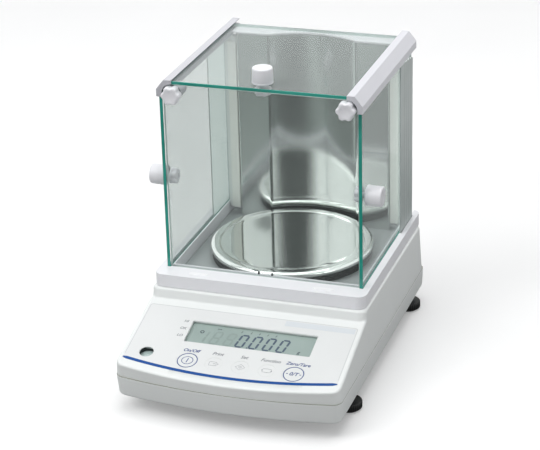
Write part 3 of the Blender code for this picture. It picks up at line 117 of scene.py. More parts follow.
def texture(tree, kind, **inputs):
    """Adds a texture node on Object coordinates and sets its inputs by name."""
    made = tree.nodes.new(kind)
    place = tree.nodes.get("Texture Coordinate") or tree.nodes.new("ShaderNodeTexCoord")
    tree.links.new(place.outputs["Object"], made.inputs["Vector"])
    for key, value in inputs.items():
        made.inputs[key.replace("_", " ")].default_value = value
    return made


def shade_between(tree, factor, socket, low, high):
    """Leads a 0 to 1 factor through a ramp from one colour to another into a colour socket."""
    ramp = tree.nodes.new("ShaderNodeValToRGB")
    ramp.color_ramp.elements[0].color = (*low, 1)
    ramp.color_ramp.elements[0].position = 0.3
    ramp.color_ramp.elements[1].color = (*high, 1)
    ramp.color_ramp.elements[1].position = 0.7
    tree.links.new(factor, ramp.inputs["Fac"])
    tree.links.new(ramp.outputs["Color"], socket)
    return ramp


def range_into(tree, factor, socket, low, high):
    """Leads a 0 to 1 factor, scaled to run from low to high, into a number socket."""
    scale = tree.nodes.new("ShaderNodeMapRange")
    scale.inputs["To Min"].default_value = low
    scale.inputs["To Max"].default_value = high
    tree.links.new(factor, scale.inputs["Value"])
    tree.links.new(scale.outputs["Result"], socket)


def raise_by(tree, height, socket, strength, depth):
    """Leads a height through a bump of a depth in metres into a normal socket."""
    bump = tree.nodes.new("ShaderNodeBump")
    bump.inputs["Strength"].default_value = strength
    bump.inputs["Distance"].default_value = depth
    tree.links.new(height, bump.inputs["Height"])
    tree.links.new(bump.outputs["Normal"], socket)


def moulded(name, pale, deep, rough, grain=1500.0, relief=0.12):
    """Moulded plastic: a fine spark-eroded grain, and a faint drift of tone from the pour."""
    finish, tree, skin_of = paint(name)
    drift = texture(tree, "ShaderNodeTexNoise", Scale=22.0, Detail=3.0, Roughness=0.5)
    shade_between(tree, drift.outputs["Fac"], skin_of.inputs["Base Color"], deep, pale)
    spark = texture(tree, "ShaderNodeTexNoise", Scale=grain, Detail=2.0, Roughness=0.6)
    raise_by(tree, spark.outputs["Fac"], skin_of.inputs["Normal"], relief, 0.00012)
    wear = texture(tree, "ShaderNodeTexNoise", Scale=60.0, Detail=4.0, Roughness=0.6)
    range_into(tree, wear.outputs["Fac"], skin_of.inputs["Roughness"], rough - 0.06, rough + 0.06)
    skin_of.inputs["IOR"].default_value = 1.49
    return finish


case_white = moulded("case_white", (0.80, 0.823, 0.815), (0.778, 0.80, 0.792), 0.42)
half_depth, front_corner, rear_corner = 149.5, 9, 7
seam_z, floor_z, foot_round = 33.2, 13.7, 3.2
lip_z, half_floor, half_lip = 33.5, 100.2, 101.0
half_at = np.interp([floor_z, seam_z], [floor_z, lip_z], [half_floor, half_lip])
tuck_at = np.interp([floor_z, seam_z], [floor_z, lip_z], [3.2, 0.8])
edge = np.radians(np.linspace(0, 90, 7))
sections = []
for inset, z in zip(foot_round * (1 - np.sin(edge)), floor_z + foot_round * (1 - np.cos(edge))):
    blend = (z - floor_z) / (seam_z - floor_z)
    half = half_at[0] + blend * (half_at[1] - half_at[0]) - inset
    tuck = tuck_at[0] + blend * (tuck_at[1] - tuck_at[0]) + inset
    sections.append((half, tuck, z, inset))
seam_edge = 0.1
sections.append((half_at[1], tuck_at[1], seam_z - seam_edge, 0.0))
sections.append((half_at[1] - seam_edge, tuck_at[1] + seam_edge, seam_z, seam_edge))
rings = np.stack([
    np.column_stack([
        plan := case_plan(
            half, tuck - half_depth, half_depth - inset, front_corner - inset, rear_corner - inset
        ),
        np.full(len(plan), z),
    ])
    for half, tuck, z, inset in sections
])
put("lower_case_shell", *skin(rings), "base", "case_plastic", [case_white], ["lower_case"])
# A dark grey band just inside the outer faces at the seam is painted shadow: it darkens the fine gap between
# the two halves.
seam_painted_shadow = moulded("seam_painted_shadow", (0.33, 0.34, 0.30), (0.29, 0.30, 0.26), 0.6)
shadow_band_inset, shadow_band_low, shadow_band_high = 0.12, seam_z - 0.2, seam_z + 0.5
shadow_band_plan = case_plan(
    half_at[1] - shadow_band_inset, tuck_at[1] + shadow_band_inset - half_depth, half_depth - shadow_band_inset,
    front_corner - shadow_band_inset, rear_corner - shadow_band_inset,
)
rings = np.stack([np.column_stack([shadow_band_plan, np.full(len(shadow_band_plan), z)]) for z in (shadow_band_low, shadow_band_high)])
put("seam_shadow_band", *skin(rings), "base", "case_plastic", [seam_painted_shadow])


# Upper half of the case: one moulding with the sloping console, a short riser and the flat top
# that carries the draft shield. Windows in it take the display, the keys, the level and sockets.
console_y, console_z, console_tilt = -61.1, 66.9, math.radians(15.2)
film_proud = 0.15
top_round = 2.6


def console_level(y):
    """Height of the moulded console at a depth, just under its printed film."""
    return console_z + (y - console_y) * math.tan(console_tilt) - film_proud / math.cos(console_tilt)


def slope_y(s):
    """Depth of a point that lies s along the console's slope."""
    return console_y + s * math.cos(console_tilt)


riser_foot, riser_lean, shelf_z, hollow_round, shoulder_round = -53.2, 12.0, 78.0, 2.2, 2.6
slope_turn = math.degrees(console_tilt)
hollow_reach = hollow_round * math.tan(math.radians(90 - riser_lean - slope_turn) / 2)
hollow_middle = (
    riser_foot - hollow_reach * math.cos(console_tilt) - hollow_round * math.sin(console_tilt),
    console_level(riser_foot) - hollow_reach * math.sin(console_tilt) + hollow_round * math.cos(console_tilt),
)
hollow = sweep_arc(hollow_middle, hollow_round, slope_turn - 90, -riser_lean, 8)
riser_top = riser_foot + (shelf_z - console_level(riser_foot)) * math.tan(math.radians(riser_lean))
shoulder_y = riser_top + shoulder_round * math.tan(math.radians(90 - riser_lean) / 2)
shoulder = sweep_arc((shoulder_y, shelf_z - shoulder_round), shoulder_round, 180 - riser_lean, 90, 5)
display_x, display_s = (-50.0, 63.6), (-42.7, -15.5)
keys_x, keys_s = (-50.6, 67.6), (-76.4, -54.6)
level_x, level_s = (-84.2, -70.6), (-68.4, -54.8)
spindle_x, spindle_y = (-9.0, 9.0), (43.45, 61.45)
jack_x, port_x, socket_z = (-56.8, -47.2), (25.1, 42.9), (51.4, 39.8)
half_top = 98.5
front_half = 100.4
front_outline = case_plan(front_half - top_round, -half_depth + top_round, 149, front_corner - top_round, 4.4)
front_line = front_outline[:51]
front_line = np.concatenate([front_outline[-10:], front_line])
windows = [*display_x, *keys_x, *level_x, *spindle_x, *jack_x, *port_x]
columns = np.unique(np.round(np.concatenate([front_line[:, 0], windows]), 4))
columns = columns[np.concatenate([[True], np.diff(columns) > 0.02])]
front_y = np.interp(columns, front_line[:, 0], front_line[:, 1])
slope_rows = sorted(slope_y(s) for s in (*display_s, *keys_s, *level_s, -79.0, -50.0, -29.0, -8.0, 0.0))
first_row = front_y.max() + 2.0
path = [(y, console_level(y)) for y in (first_row, *[y for y in slope_rows if y > first_row + 0.5])]
path += [*map(tuple, hollow), *map(tuple, shoulder)]
path += [(y, shelf_z) for y in (-20.0, 10.0, *spindle_y, 90.0, 120.0, 134.0)]
path = np.array(path)
rear_line, rear_round = 144.5 - top_round, 4.4
rear_half = half_top - top_round
beyond = np.clip(np.abs(columns) * rear_half / columns.max() - (rear_half - rear_round), 0, rear_round)
rear_y = rear_line - rear_round + np.sqrt(rear_round**2 - beyond**2)
key_row = np.maximum(slope_y(keys_s[0]), front_y + 0.8)
spread = np.repeat(path[:, None], len(columns), axis=1)
grid_y = np.concatenate([front_y[None], key_row[None], spread[..., 0], rear_y[None]])
grid_z = np.concatenate([
    console_level(front_y)[None],
    console_level(key_row)[None],
    spread[..., 1],
    np.full((1, len(columns)), shelf_z),
])
corner_round = 8.0
past = np.clip(np.abs(columns) - columns.max() + corner_round - top_round, 0, None)
set_back = corner_round - np.sqrt(corner_round**2 - past**2)
foot_row = 2 + len(path) - 7 - len(shoulder) - len(hollow)
brow_row = foot_row + len(hollow)
shelf_row = brow_row + len(shoulder)
grid_y[foot_row:shelf_row] += set_back
grid_z[foot_row:brow_row] += set_back * math.tan(console_tilt)
grid_y[brow_row:shelf_row] += (grid_y[brow_row:shelf_row] - grid_y[brow_row]) * past / past.max()
side_at = np.interp(grid_z, [lip_z, shelf_z], [half_lip, half_top]) - top_round
straight_half = 86.0
outer = np.clip((np.abs(columns) - straight_half) / (columns.max() - straight_half), 0, 1)
grid_x = columns + outer * np.sign(columns) * (side_at - columns.max())
grid = np.stack([grid_x, grid_y, grid_z], axis=-1)
rows, cols = grid.shape[:2]
ahead_of = [(first_row - step, console_level(first_row - step)) for step in (4, 2)]
slant = np.gradient(np.concatenate([ahead_of, path, [(rear_line, shelf_z)]]), axis=0)
lift = np.stack([np.zeros(rows), -slant[:, 1], slant[:, 0]], axis=1)
lift /= np.linalg.norm(lift, axis=1)[:, None]
number = np.arange(rows * cols).reshape(rows, cols)
rim = np.concatenate([number[0], number[1:, -1], number[-1, -2::-1], number[-2:0:-1, 0]])
rim_row = rim // cols
rim_points = grid.reshape(-1, 3)[rim]
ahead = np.roll(rim_points, -1, axis=0) - rim_points
ahead[:, 2] = 0
facing = np.stack([ahead[:, 1], -ahead[:, 0], 0 * ahead[:, 0]], axis=1)
facing /= np.maximum(np.linalg.norm(facing, axis=1), 1e-9)[:, None]
still = np.linalg.norm(ahead, axis=1) < 1e-6
facing[still] = np.sign(rim_points[still])[:, :1] * (1, 0, 0)
facing = facing + np.roll(facing, 1, axis=0)
facing /= np.linalg.norm(facing, axis=1)[:, None]
rim_lift = lift[rim_row]
turns = np.radians(np.linspace(0, 90, 7))[1:]
rounding = [
    rim_points + top_round * (facing * math.sin(turn) + rim_lift * (math.cos(turn) - 1)) for turn in turns
]
across_edge = np.stack([grid[:, -1] - grid[:, -2], grid[:, 0] - grid[:, 1]])
along_edge = np.gradient(grid[:, [-1, 0]], axis=0).transpose(1, 0, 2)
edge_normal = np.cross(across_edge, along_edge) * np.array([1, -1])[:, None, None]
edge_normal /= np.linalg.norm(edge_normal, axis=2)[:, :, None]
for column, normal, outward in ((cols - 1, edge_normal[0], 1), (0, edge_normal[1], -1)):
    behind = -np.inf
    for row in range(foot_row, shelf_row):
        spot = np.flatnonzero(rim == number[row, column])[0]
        start, side = normal[row], np.array([outward, 0.0, 0.0])
        facing[spot] = side
        span = math.acos(start @ side)
        reach = top_round / (1 - start @ side)
        behind = max(behind + 0.02, (rim_points[spot] + reach * (side - start))[1])
        for ring, turn in zip(rounding, turns):
            share = turn / turns[-1]
            swung = (start * math.sin((1 - share) * span) + side * math.sin(share * span)) / math.sin(span)
            ring[spot] = rim_points[spot] + reach * (swung - start)
            if share == 1:
                ring[spot, 1] = behind
wall_top = rounding[-1]
drop = wall_top[:, 2:] - (seam_z + 0.3)
wall_rise, rear_lean, front_lean = shelf_z - lip_z, 5.0, 0.09
lean = np.stack([
    facing[:, 0] * (half_lip - half_top) / wall_rise,
    np.where(facing[:, 1] > 0, facing[:, 1] * rear_lean / wall_rise, facing[:, 1] * -front_lean),
    np.zeros(len(rim)),
], axis=1)
wall = []
for share in np.interp(socket_z, [lip_z, shelf_z - top_round], [1, 0]).tolist() + [0.985, 1.0]:
    tucked = seam_edge * facing if share == 1.0 else 0
    wall.append(wall_top + lean * drop * share - tucked - (0, 0, 1) * drop * share)
rim_rings = np.stack([*rounding, *wall])


def inside(values, pair, slack=0.01):
    """True where a cell's middle lies between two window edges."""
    middle = (values[:-1] + values[1:]) / 2
    return (middle > min(pair) - slack) & (middle < max(pair) + slack)


cells = np.ones((rows - 1, cols - 1), bool)
row_y = grid_y[:, cols // 2]
for pair_x, pair_y in (
    (display_x, [slope_y(s) for s in display_s]),
    (keys_x, [slope_y(s) for s in keys_s]),
    (level_x, [slope_y(s) for s in level_s]),
    (spindle_x, spindle_y),
):
    cells[np.ix_(inside(row_y, pair_y), inside(columns, pair_x))] = False
faces = np.stack([number[:-1, :-1], number[:-1, 1:], number[1:, 1:], number[1:, :-1]], axis=-1)
faces = faces[cells].tolist()
round_points, round_faces = skin(rim_rings, False, False, first=rows * cols)
around = len(rim)
ring_over = np.roll(rows * cols + np.arange(around), -1)
faces += np.stack([rim, np.roll(rim, -1), ring_over, rows * cols + np.arange(around)], axis=-1).tolist()
on_rear = (rim_row == rows - 1) & (np.roll(rim_row, -1) == rows - 1)
middle_x = (rim_points[:, 0] + np.roll(rim_points[:, 0], -1, axis=0)) / 2
socket = on_rear & (
    ((middle_x > jack_x[0]) & (middle_x < jack_x[1])) | ((middle_x > port_x[0]) & (middle_x < port_x[1]))
)
socket_band = len(rounding)
for index, face in enumerate(round_faces):
    if not (index // around == socket_band and socket[index % around]):
        faces.append(face)
points = np.concatenate([grid.reshape(-1, 3), round_points])
# The case's flat top inside the glass chamber takes a darker grey than the rest of the case.
chamber_grey = moulded("chamber_grey", (0.40, 0.43, 0.43), (0.37, 0.40, 0.40), 0.45)
upper_case = put("upper_case_shell", points, faces, "base", "case_plastic", [case_white, chamber_grey],
                 ["upper_case"])
chamber_half, chamber_front, chamber_rear = 88.5, -26.0, 139.0
for face in upper_case.data.polygons:
    x, y, z = face.center / MM
    in_chamber = abs(x) < chamber_half and chamber_front < y < chamber_rear and face.normal.z > 0.9
    face.material_index = int(in_chamber)
thickness = upper_case.modifiers.new("moulded_wall", "SOLIDIFY")
thickness.thickness = 2.3 * MM
thickness.offset = -1


# Printed film on the console: a thin satin sheet, stuck in a shallow pocket of the moulding and
# screened with a blue sweep along its front edge, small grey and blue words and a pale label band.
film_white = moulded("film_white", (0.725, 0.738, 0.736), (0.71, 0.723, 0.721), 0.36, 2600.0, 0.05)


def dress(finish, *names):
    """Gives CAD pieces that are shown as they are a finish of their own."""
    for name in names:
        nodes[name].data.materials.clear()
        nodes[name].data.materials.append(finish)


dress(film_white, "panel_film")


def on_console(flat):
    """Points (across, along the slope, above the film) carried into the balance's frame."""
    flat = np.asarray(flat, float)
    along, above = flat[..., 1], flat[..., 2]
    cos, sin = math.cos(console_tilt), math.sin(console_tilt)
    return np.stack([
        flat[..., 0], console_y + along * cos - above * sin, console_z + along * sin + above * cos
    ], axis=-1)


def ink(name, pale, deep, rough=0.4):
    """Screened ink, with the slight unevenness of the squeegee."""
    finish, tree, skin_of = paint(name)
    pull = texture(tree, "ShaderNodeTexNoise", Scale=420.0, Detail=2.0)
    shade_between(tree, pull.outputs["Fac"], skin_of.inputs["Base Color"], deep, pale)
    range_into(tree, pull.outputs["Fac"], skin_of.inputs["Roughness"], rough - 0.05, rough + 0.05)
    skin_of.inputs["Specular IOR Level"].default_value = 0.2
    return finish


blue_ink = ink("blue_ink", (0.0, 0.066, 0.285), (0.0, 0.058, 0.255))
word_blue = ink("word_blue", (0.006, 0.044, 0.205), (0.004, 0.038, 0.185))
grey_ink = ink("grey_ink", (0.25, 0.26, 0.28), (0.22, 0.23, 0.25))
print_low, print_high = 0.01, 0.05


def stroke(line, width, low=print_low, high=print_high, closed=False):
    """A flat printed line: a thin rectangle carried along a path of (across, along) points."""
    line = np.asarray(line, float)
    width = np.broadcast_to(width, len(line))[:, None]
    if closed:
        ahead = np.roll(line, -1, axis=0) - np.roll(line, 1, axis=0)
    else:
        ahead = np.gradient(line, axis=0)
    ahead /= np.linalg.norm(ahead, axis=1)[:, None]
    side = np.stack([-ahead[:, 1], ahead[:, 0]], axis=1) * width / 2
    left, right = line + side, line - side
    tall = np.ones((len(line), 1))
    rings = np.stack([
        np.hstack([left, low * tall]), np.hstack([right, low * tall]),
        np.hstack([right, high * tall]), np.hstack([left, high * tall]),
    ], axis=1)
    if closed:
        rings = np.concatenate([rings, rings[:1]])
    return skin(rings, not closed, not closed)


def gather(parts):
    """Joins several (points, faces) pairs into one."""
    points, faces, count = [], [], 0
    for some, polygons in parts:
        points.append(np.asarray(some))
        faces += [[corner + count for corner in face] for face in polygons]
        count += len(some)
    return np.concatenate(points), faces


def words(text, middle, size, shear=0.0, low=print_low, high=print_high):
    """Words set in a plain face, centred on a point of the film, as a thin raised print."""
    letters = bpy.data.curves.new("letters", "FONT")
    letters.body, letters.size, letters.shear = text, size, shear
    letters.align_x, letters.align_y = "CENTER", "CENTER"
    letters.resolution_u = 4
    letters.extrude = 0.5
    letters.offset = 0.018 * size
    holder = bpy.data.objects.new("letters", letters)
    scene.collection.objects.link(holder)
    made = bpy.data.meshes.new_from_object(holder.evaluated_get(bpy.context.evaluated_depsgraph_get()))
    points = np.empty(len(made.vertices) * 3)
    made.vertices.foreach_get("co", points)
    faces = [list(face.vertices) for face in made.polygons]
    bpy.data.objects.remove(holder)
    bpy.data.curves.remove(letters)
    bpy.data.meshes.remove(made)
    points = points.reshape(-1, 3) + (*middle, 0)
    points[:, 2] = np.where(points[:, 2] > 0, high, low)
    return points, faces


def printed(name, parts, finish, slot="panel_film"):
    """Lays printed parts on the console as one piece of the case."""
    points, faces = gather(parts)
    return put(name, on_console(points), faces, "base", slot, [finish], sharp=20)


sweep_half, sweep_low, sweep_rise = 96, -81.0, 10.2
across = np.linspace(-sweep_half, sweep_half, 97)
outward = np.abs(across / sweep_half)
sweep = np.stack([across, sweep_low + sweep_rise * outward**2], axis=1)
sweep_width = 3.2 * np.clip((1 - outward) / 0.035, 0.12, 1) ** 0.5
printed("blue_sweep", [stroke(sweep, sweep_width)], blue_ink)
key_x = -38.6 + 23.75 * np.arange(5)
label_s, label_size, label_shear = -53.4, 5.0, 0.28
printed("blue_words", [
    words("On/Off", (key_x[0] - 0.5, label_s), label_size, label_shear),
    words("Zero/Tare", (key_x[4] + 0.5, label_s), label_size, label_shear),
], word_blue)
grey_words = [
    words(text, (x, label_s), label_size, label_shear)
    for text, x in zip(("Print", "Set", "Function"), key_x[1:4])
]
limit_x, limit_size, limit_shear = -55.9, 4.0, 0.2
for text, s in (("HI", -17.6), ("OK", -26.8), ("LO", -36.0)):
    grey_words.append(words(text, (limit_x, s), limit_size, limit_shear))
printed("grey_words", grey_words, grey_ink)
border_ink = ink("border_ink", (0.585, 0.61, 0.61), (0.57, 0.595, 0.595))
border_corner = sweep_arc((92.4, -3.0), 2.5, 0, 90, 6)
border = np.concatenate([[(95.4, -66.0), (95.15, -35.0)], border_corner])
border = np.concatenate([border, border[::-1] * (-1, 1)])
printed("film_border", [stroke(border, 0.55)], border_ink)
band_ink = ink("band_ink", (0.66, 0.695, 0.72), (0.65, 0.685, 0.71))
band_s, band_width = -4.9, 6.4
printed("label_band", [stroke([(x, band_s) for x in (31, 50, 70, 93.5)], band_width)], band_ink)


# Keys: five soft spots of the same film, each backed by a plunger over its switch. Two carry blue
# rings, the others small grey signs, and every sign goes down with its key.
def lathe_rings(profile, steps):
    """A profile of (radius, height) turned about the upright axis: rings (profile, steps, 3)."""
    profile = np.asarray(profile, float)
    turn = np.linspace(0, 2 * math.pi, steps, endpoint=False)
    return np.stack([
        profile[:, :1] * np.cos(turn), profile[:, :1] * np.sin(turn), np.repeat(profile[:, 1:], steps, axis=1)
    ], axis=-1)


def circle_line(radius, steps=48, stretch=1.0):
    """Points round a circle, wider across than along by stretch."""
    turn = np.radians(np.linspace(0, 360, steps, endpoint=False))
    return np.stack([radius * stretch * np.cos(turn), radius * np.sin(turn)], axis=1)


key_s = -65.7
key_names = ("key_on_off", "key_print", "key_set", "key_function", "key_zero_tare")
key_radius = (9.45, 7.45, 7.45, 7.45, 9.45)
box_sign = np.array([
    (-4, -2.2), (-4, 1.6), (-3.4, 2.2), (2.2, 2.2), (2.6, 1.0), (4.6, 0), (2.6, -1.2), (2.2, -2.2)
])
gem_sign = np.array([(0, 3.6), (4.2, 0), (0, -3.6), (-4.2, 0)])
loop_sign = np.array([
    (-3.6, -1.9), (-4.2, 0), (-3.6, 1.9), (0, 2.2), (3.6, 1.9), (4.2, 0), (3.6, -1.9), (0, -2.2)
])
arrow_sign = np.array([(-4.9, 0.7), (-4.2, -0.4), (-3.4, 0.7)])
ring_radius, ring_line, fine_line, inner_line = 8.6, 0.75, 0.34, 0.4
signs = {
    "key_on_off": [
        stroke(circle_line(ring_radius), ring_line, closed=True),
        stroke(circle_line(4.5, stretch=1.1), 0.6, closed=True),
        stroke([(0.35, 2.6), (0.1, 0.9), (-0.1, -0.9), (-0.35, -2.6)], ring_line),
    ],
    "key_print": [
        stroke(box_sign, fine_line, closed=True),
        stroke([(-0.4, 0), (0.8, 0), (2.4, 0)], inner_line),
    ],
    "key_set": [
        stroke(gem_sign, fine_line, closed=True),
        stroke(gem_sign * 0.36, inner_line, closed=True),
    ],
    "key_function": [
        stroke(loop_sign, fine_line, closed=True),
        stroke(arrow_sign, inner_line),
        stroke(-arrow_sign, inner_line),
    ],
    "key_zero_tare": [
        stroke(circle_line(ring_radius), ring_line, closed=True),
        words("0/T", (0, 0), 5.6, 0.2),
        stroke([(-6.6, 0), (-5.9, 0), (-5.0, 0)], 0.7),
        stroke([(6.6, 0), (5.9, 0), (5.0, 0)], 0.7),
    ],
}
key_edge, key_low = 0.12, -2.2
for name, x, radius in zip(key_names, key_x, key_radius):
    spot = [(0, 0.0), (radius - key_edge, 0.0), (radius, -key_edge), (radius, key_low), (0, key_low)]
    rings = lathe_rings(spot, 64) + (x, key_s, 0)
    put(name + "_cap", *skin(on_console(rings), False, False), name, "key_film", [film_white], [name])
    points, faces = gather(signs[name])
    sign_ink = word_blue if radius > 8 else grey_ink
    put(name + "_sign", on_console(points + (x, key_s, 0)), faces, name, "key_film", [sign_ink], sharp=20)


# Display: a grey-green liquid crystal cell under the console's window, with slanted seven-bar
# figures in slate blue, the faint unlit bars beside them and small marks along its top edge.
lcd_face, tree, cell = paint("lcd_face")
cloud = texture(tree, "ShaderNodeTexNoise", Scale=30.0, Detail=2.0)
cell_pale, cell_deep = (0.315, 0.392, 0.368), (0.300, 0.375, 0.352)
shade_between(tree, cloud.outputs["Fac"], cell.inputs["Base Color"], cell_deep, cell_pale)
cell.inputs["Roughness"].default_value = 0.22
cell.inputs["Coat Weight"].default_value = 0.25
cell.inputs["Coat Roughness"].default_value = 0.05
dress(lcd_face, "lcd_window")
lit_ink = ink("lit_ink", (0.075, 0.105, 0.15), (0.066, 0.094, 0.135))
faint_ink = ink("faint_ink", (0.248, 0.312, 0.294), (0.24, 0.304, 0.286))
mark_ink = ink("mark_ink", (0.055, 0.075, 0.095), (0.05, 0.07, 0.088))
cell_top = -2.8
flat_on_cell = (cell_top + print_low, cell_top + print_high)
figure_wide, figure_tall, bar, lean_right = 6.3, 15.0, 1.85, 0.2
figure_foot = -38.6
BARS = {
    "0": "abcdef",
    "1": "bc",
    "8": "abcdefg",
}


def figure(sign, left):
    """One seven-bar figure: pointed bars between its six corner points, all leaning to the right."""
    w, h = figure_wide, figure_tall / 2
    ends = {
        "a": ((0, 2 * h), (w, 2 * h)), "b": ((w, 2 * h), (w, h)), "c": ((w, h), (w, 0)),
        "d": ((0, 0), (w, 0)), "e": ((0, h), (0, 0)), "f": ((0, 2 * h), (0, h)), "g": ((0, h), (w, h)),
    }
    made = []
    for key in BARS[sign]:
        start, end = (np.array(corner, float) for corner in ends[key])
        run = end - start
        line = start + run * np.array([0.06, 0.16, 0.5, 0.84, 0.94])[:, None]
        line[:, 0] += lean_right * line[:, 1]
        made.append(stroke(line + (left, figure_foot), np.array([0.3, 1, 1, 1, 0.3]) * bar, *flat_on_cell))
    return made


figure_left = -5.3 + 12.3 * np.arange(4)
lit = [bars for left in figure_left for bars in figure("0", left)]
lit.append(stroke([(x, figure_foot) for x in (5.2, 5.8, 6.4)], 1.4, *flat_on_cell))
printed("lit_figures", lit, lit_ink, slot="lcd_glass")
unlit = figure("1", -41.5)
unlit += [bars for left in (-29.0, -16.4) for bars in figure("8", left)]
printed("unlit_figures", unlit, faint_ink, slot="lcd_glass")
ring_mark = circle_line(1.5, 24) + (-38.9, -25.5)
marks = [
    stroke(ring_mark, 0.85, *flat_on_cell, closed=True),
    words("g", (51.6, -36.2), 5.0, lean_right, *flat_on_cell),
    words("pcs", (-24.5, -19.6), 2.6, lean_right, *flat_on_cell),
]
for x in (-4.0, 4.5, 12.0, 19.5, 27.0):
    marks.append(stroke([(x - 0.5, -20.8), (x, -19.6), (x + 0.3, -18.6)], 0.55, *flat_on_cell))
printed("display_marks", marks, mark_ink, slot="lcd_glass")


# Spirit level: a small round vial in a black cup below a hole in the film. Its domed glass holds a
# greenish fluid with a bubble and a centring ring.
level_middle = (-77.4, -61.6)
cup_black = moulded("cup_black", (0.045, 0.056, 0.056), (0.036, 0.046, 0.046), 0.45)
dress(cup_black, "level_cup")
vial_glass, tree, fluid = paint("vial_fluid")
drift = texture(tree, "ShaderNodeTexNoise", Scale=160.0, Detail=2.0)
shade_between(tree, drift.outputs["Fac"], fluid.inputs["Base Color"], (0.46, 0.57, 0.555), (0.50, 0.61, 0.59))
fluid.inputs["Roughness"].default_value = 0.08
fluid.inputs["Coat Weight"].default_value = 0.6
lens_low, lens_radius, lens_crown = -10.3, 7.0, 1.1
lens_top = lens_low + 6.2
bulge = np.radians(np.linspace(90, 20, 8))[1:]
crown_radius = lens_radius * np.cos(bulge) / math.cos(bulge[-1])
crown_height = lens_top - lens_crown + lens_crown * (np.sin(bulge) - math.sin(bulge[-1])) / 0.66
dome = [(0, lens_top), *zip(crown_radius, crown_height), (lens_radius, lens_low), (0, lens_low)]
rings = lathe_rings(dome, 48) + (*level_middle, 0)
put("level_lens", *skin(on_console(rings), False, False), "base", "clear_plastic", [vial_glass],
    ["level_vial"])
bubble_middle = np.array(level_middle) + (0.5, 0.3)
level_marks = [
    stroke(circle_line(2.6, 32) + level_middle, 0.25, lens_top, lens_top + 0.05, closed=True),
    stroke(circle_line(1.6, 32) + bubble_middle, 0.5, lens_top, lens_top + 0.06, closed=True),
]
ring_ink = ink("ring_ink", (0.40, 0.50, 0.48), (0.36, 0.46, 0.44))
printed("level_ring", level_marks, ring_ink, slot="clear_plastic")


# Tray of the draft shield: a white moulded frame on the case's flat top, grooved for the glass.
# Its edges are eased, and oval plugs close the screw holes in its sill.
# The tray, the back cap and its plugs take a lighter copy of the shield's white, as painted light where the
# glass shades the sill.
tray_white_painted_light = moulded("tray_white_painted_light", (0.85, 0.85, 0.88), (0.83, 0.832, 0.86), 0.40)


def ease(name, width, steps=3, angle=40):
    """Rounds a CAD piece's edges: its triangles are welded into flats, then bevelled."""
    weld = nodes[name].modifiers.new("weld", "WELD")
    weld.merge_threshold = 2e-6
    flats = nodes[name].modifiers.new("flats", "DECIMATE")
    flats.decimate_type = "DISSOLVE"
    flats.angle_limit = math.radians(1.0)
    round_edge = nodes[name].modifiers.new("eased_edge", "BEVEL")
    round_edge.width = width * MM
    round_edge.segments = steps
    round_edge.limit_method = "ANGLE"
    round_edge.angle_limit = math.radians(angle)


dress(tray_white_painted_light, "windshield_tray")
ease("windshield_tray", 0.7)


def pill(middle, length, width, low, high, edge=0.25, steps=10):
    """An oval plug: a stadium outline with a slightly smaller top."""
    made = []
    for inset, z in ((0, low), (0, high - edge), (edge, high)):
        radius = width / 2 - inset
        reach = length / 2 - width / 2
        right = sweep_arc((reach, 0), radius, -90, 90, steps)
        outline = np.concatenate([right, -right]) + middle
        made.append(np.column_stack([outline, np.full(len(outline), z)]))
    return skin(np.stack(made))


sill_z, plug_y = 90.1, -40.6
plugs = [pill((x, plug_y), 18.0, 4.6, sill_z - 1, sill_z + 0.55) for x in (-57.5, 57.5)]
plug_white = moulded("plug_white", (0.90, 0.90, 0.92), (0.885, 0.885, 0.905), 0.30)
put("sill_plugs", *gather(plugs), "base", "shield_plastic", [plug_white])


# Draft ring, pane stops and pan carrier: a black moulded ring round the opening in the case, black
# caps on the two stops behind the front pane, and an aluminium spider that carries the pan.
satin_black = moulded("satin_black", (0.022, 0.023, 0.023), (0.014, 0.015, 0.015), 0.42)
pan_middle = np.array([0.0, 52.45, 0.0])
floor_seat_z, ring_top, ring_edge = 78.3, 84.6, 83.9
ring = [(69.5, floor_seat_z), (73.4, floor_seat_z), (73.4, ring_edge), (72.8, ring_top), (70.1, ring_top),
        (69.5, ring_edge), (69.5, floor_seat_z)]
matt = satin_black.node_tree.nodes["Principled BSDF"]
matt.inputs["Specular IOR Level"].default_value = 0.2
rings = lathe_rings(ring, 96) + pan_middle
put("draft_ring_black", *skin(rings, False, False), "base", "black_plastic", [satin_black], ["draft_ring"])
stop_x, stop_y = 6.2, -25.4
stop_cap = lathe_rings([(0.95, sill_z), (0.95, sill_z + 1.8), (0.7, sill_z + 2.05)], 20)
caps = [skin(stop_cap + (x, stop_y, 0.0)) for x in (-stop_x, stop_x)]
put("pane_stop_caps", *gather(caps), "base", "black_plastic", [satin_black])
cast_grey, tree, cast = paint("cast_aluminium")
cast.inputs["Metallic"].default_value = 1.0
sand = texture(tree, "ShaderNodeTexNoise", Scale=900.0, Detail=3.0)
shade_between(tree, sand.outputs["Fac"], cast.inputs["Base Color"], (0.50, 0.51, 0.52), (0.60, 0.61, 0.62))
range_into(tree, sand.outputs["Fac"], cast.inputs["Roughness"], 0.36, 0.52)
raise_by(tree, sand.outputs["Fac"], cast.inputs["Normal"], 0.3, 0.0001)
dress(cast_grey, "pan_support", "chassis", "fixed_block", "live_block", "upper_beam", "lower_beam", "lever")


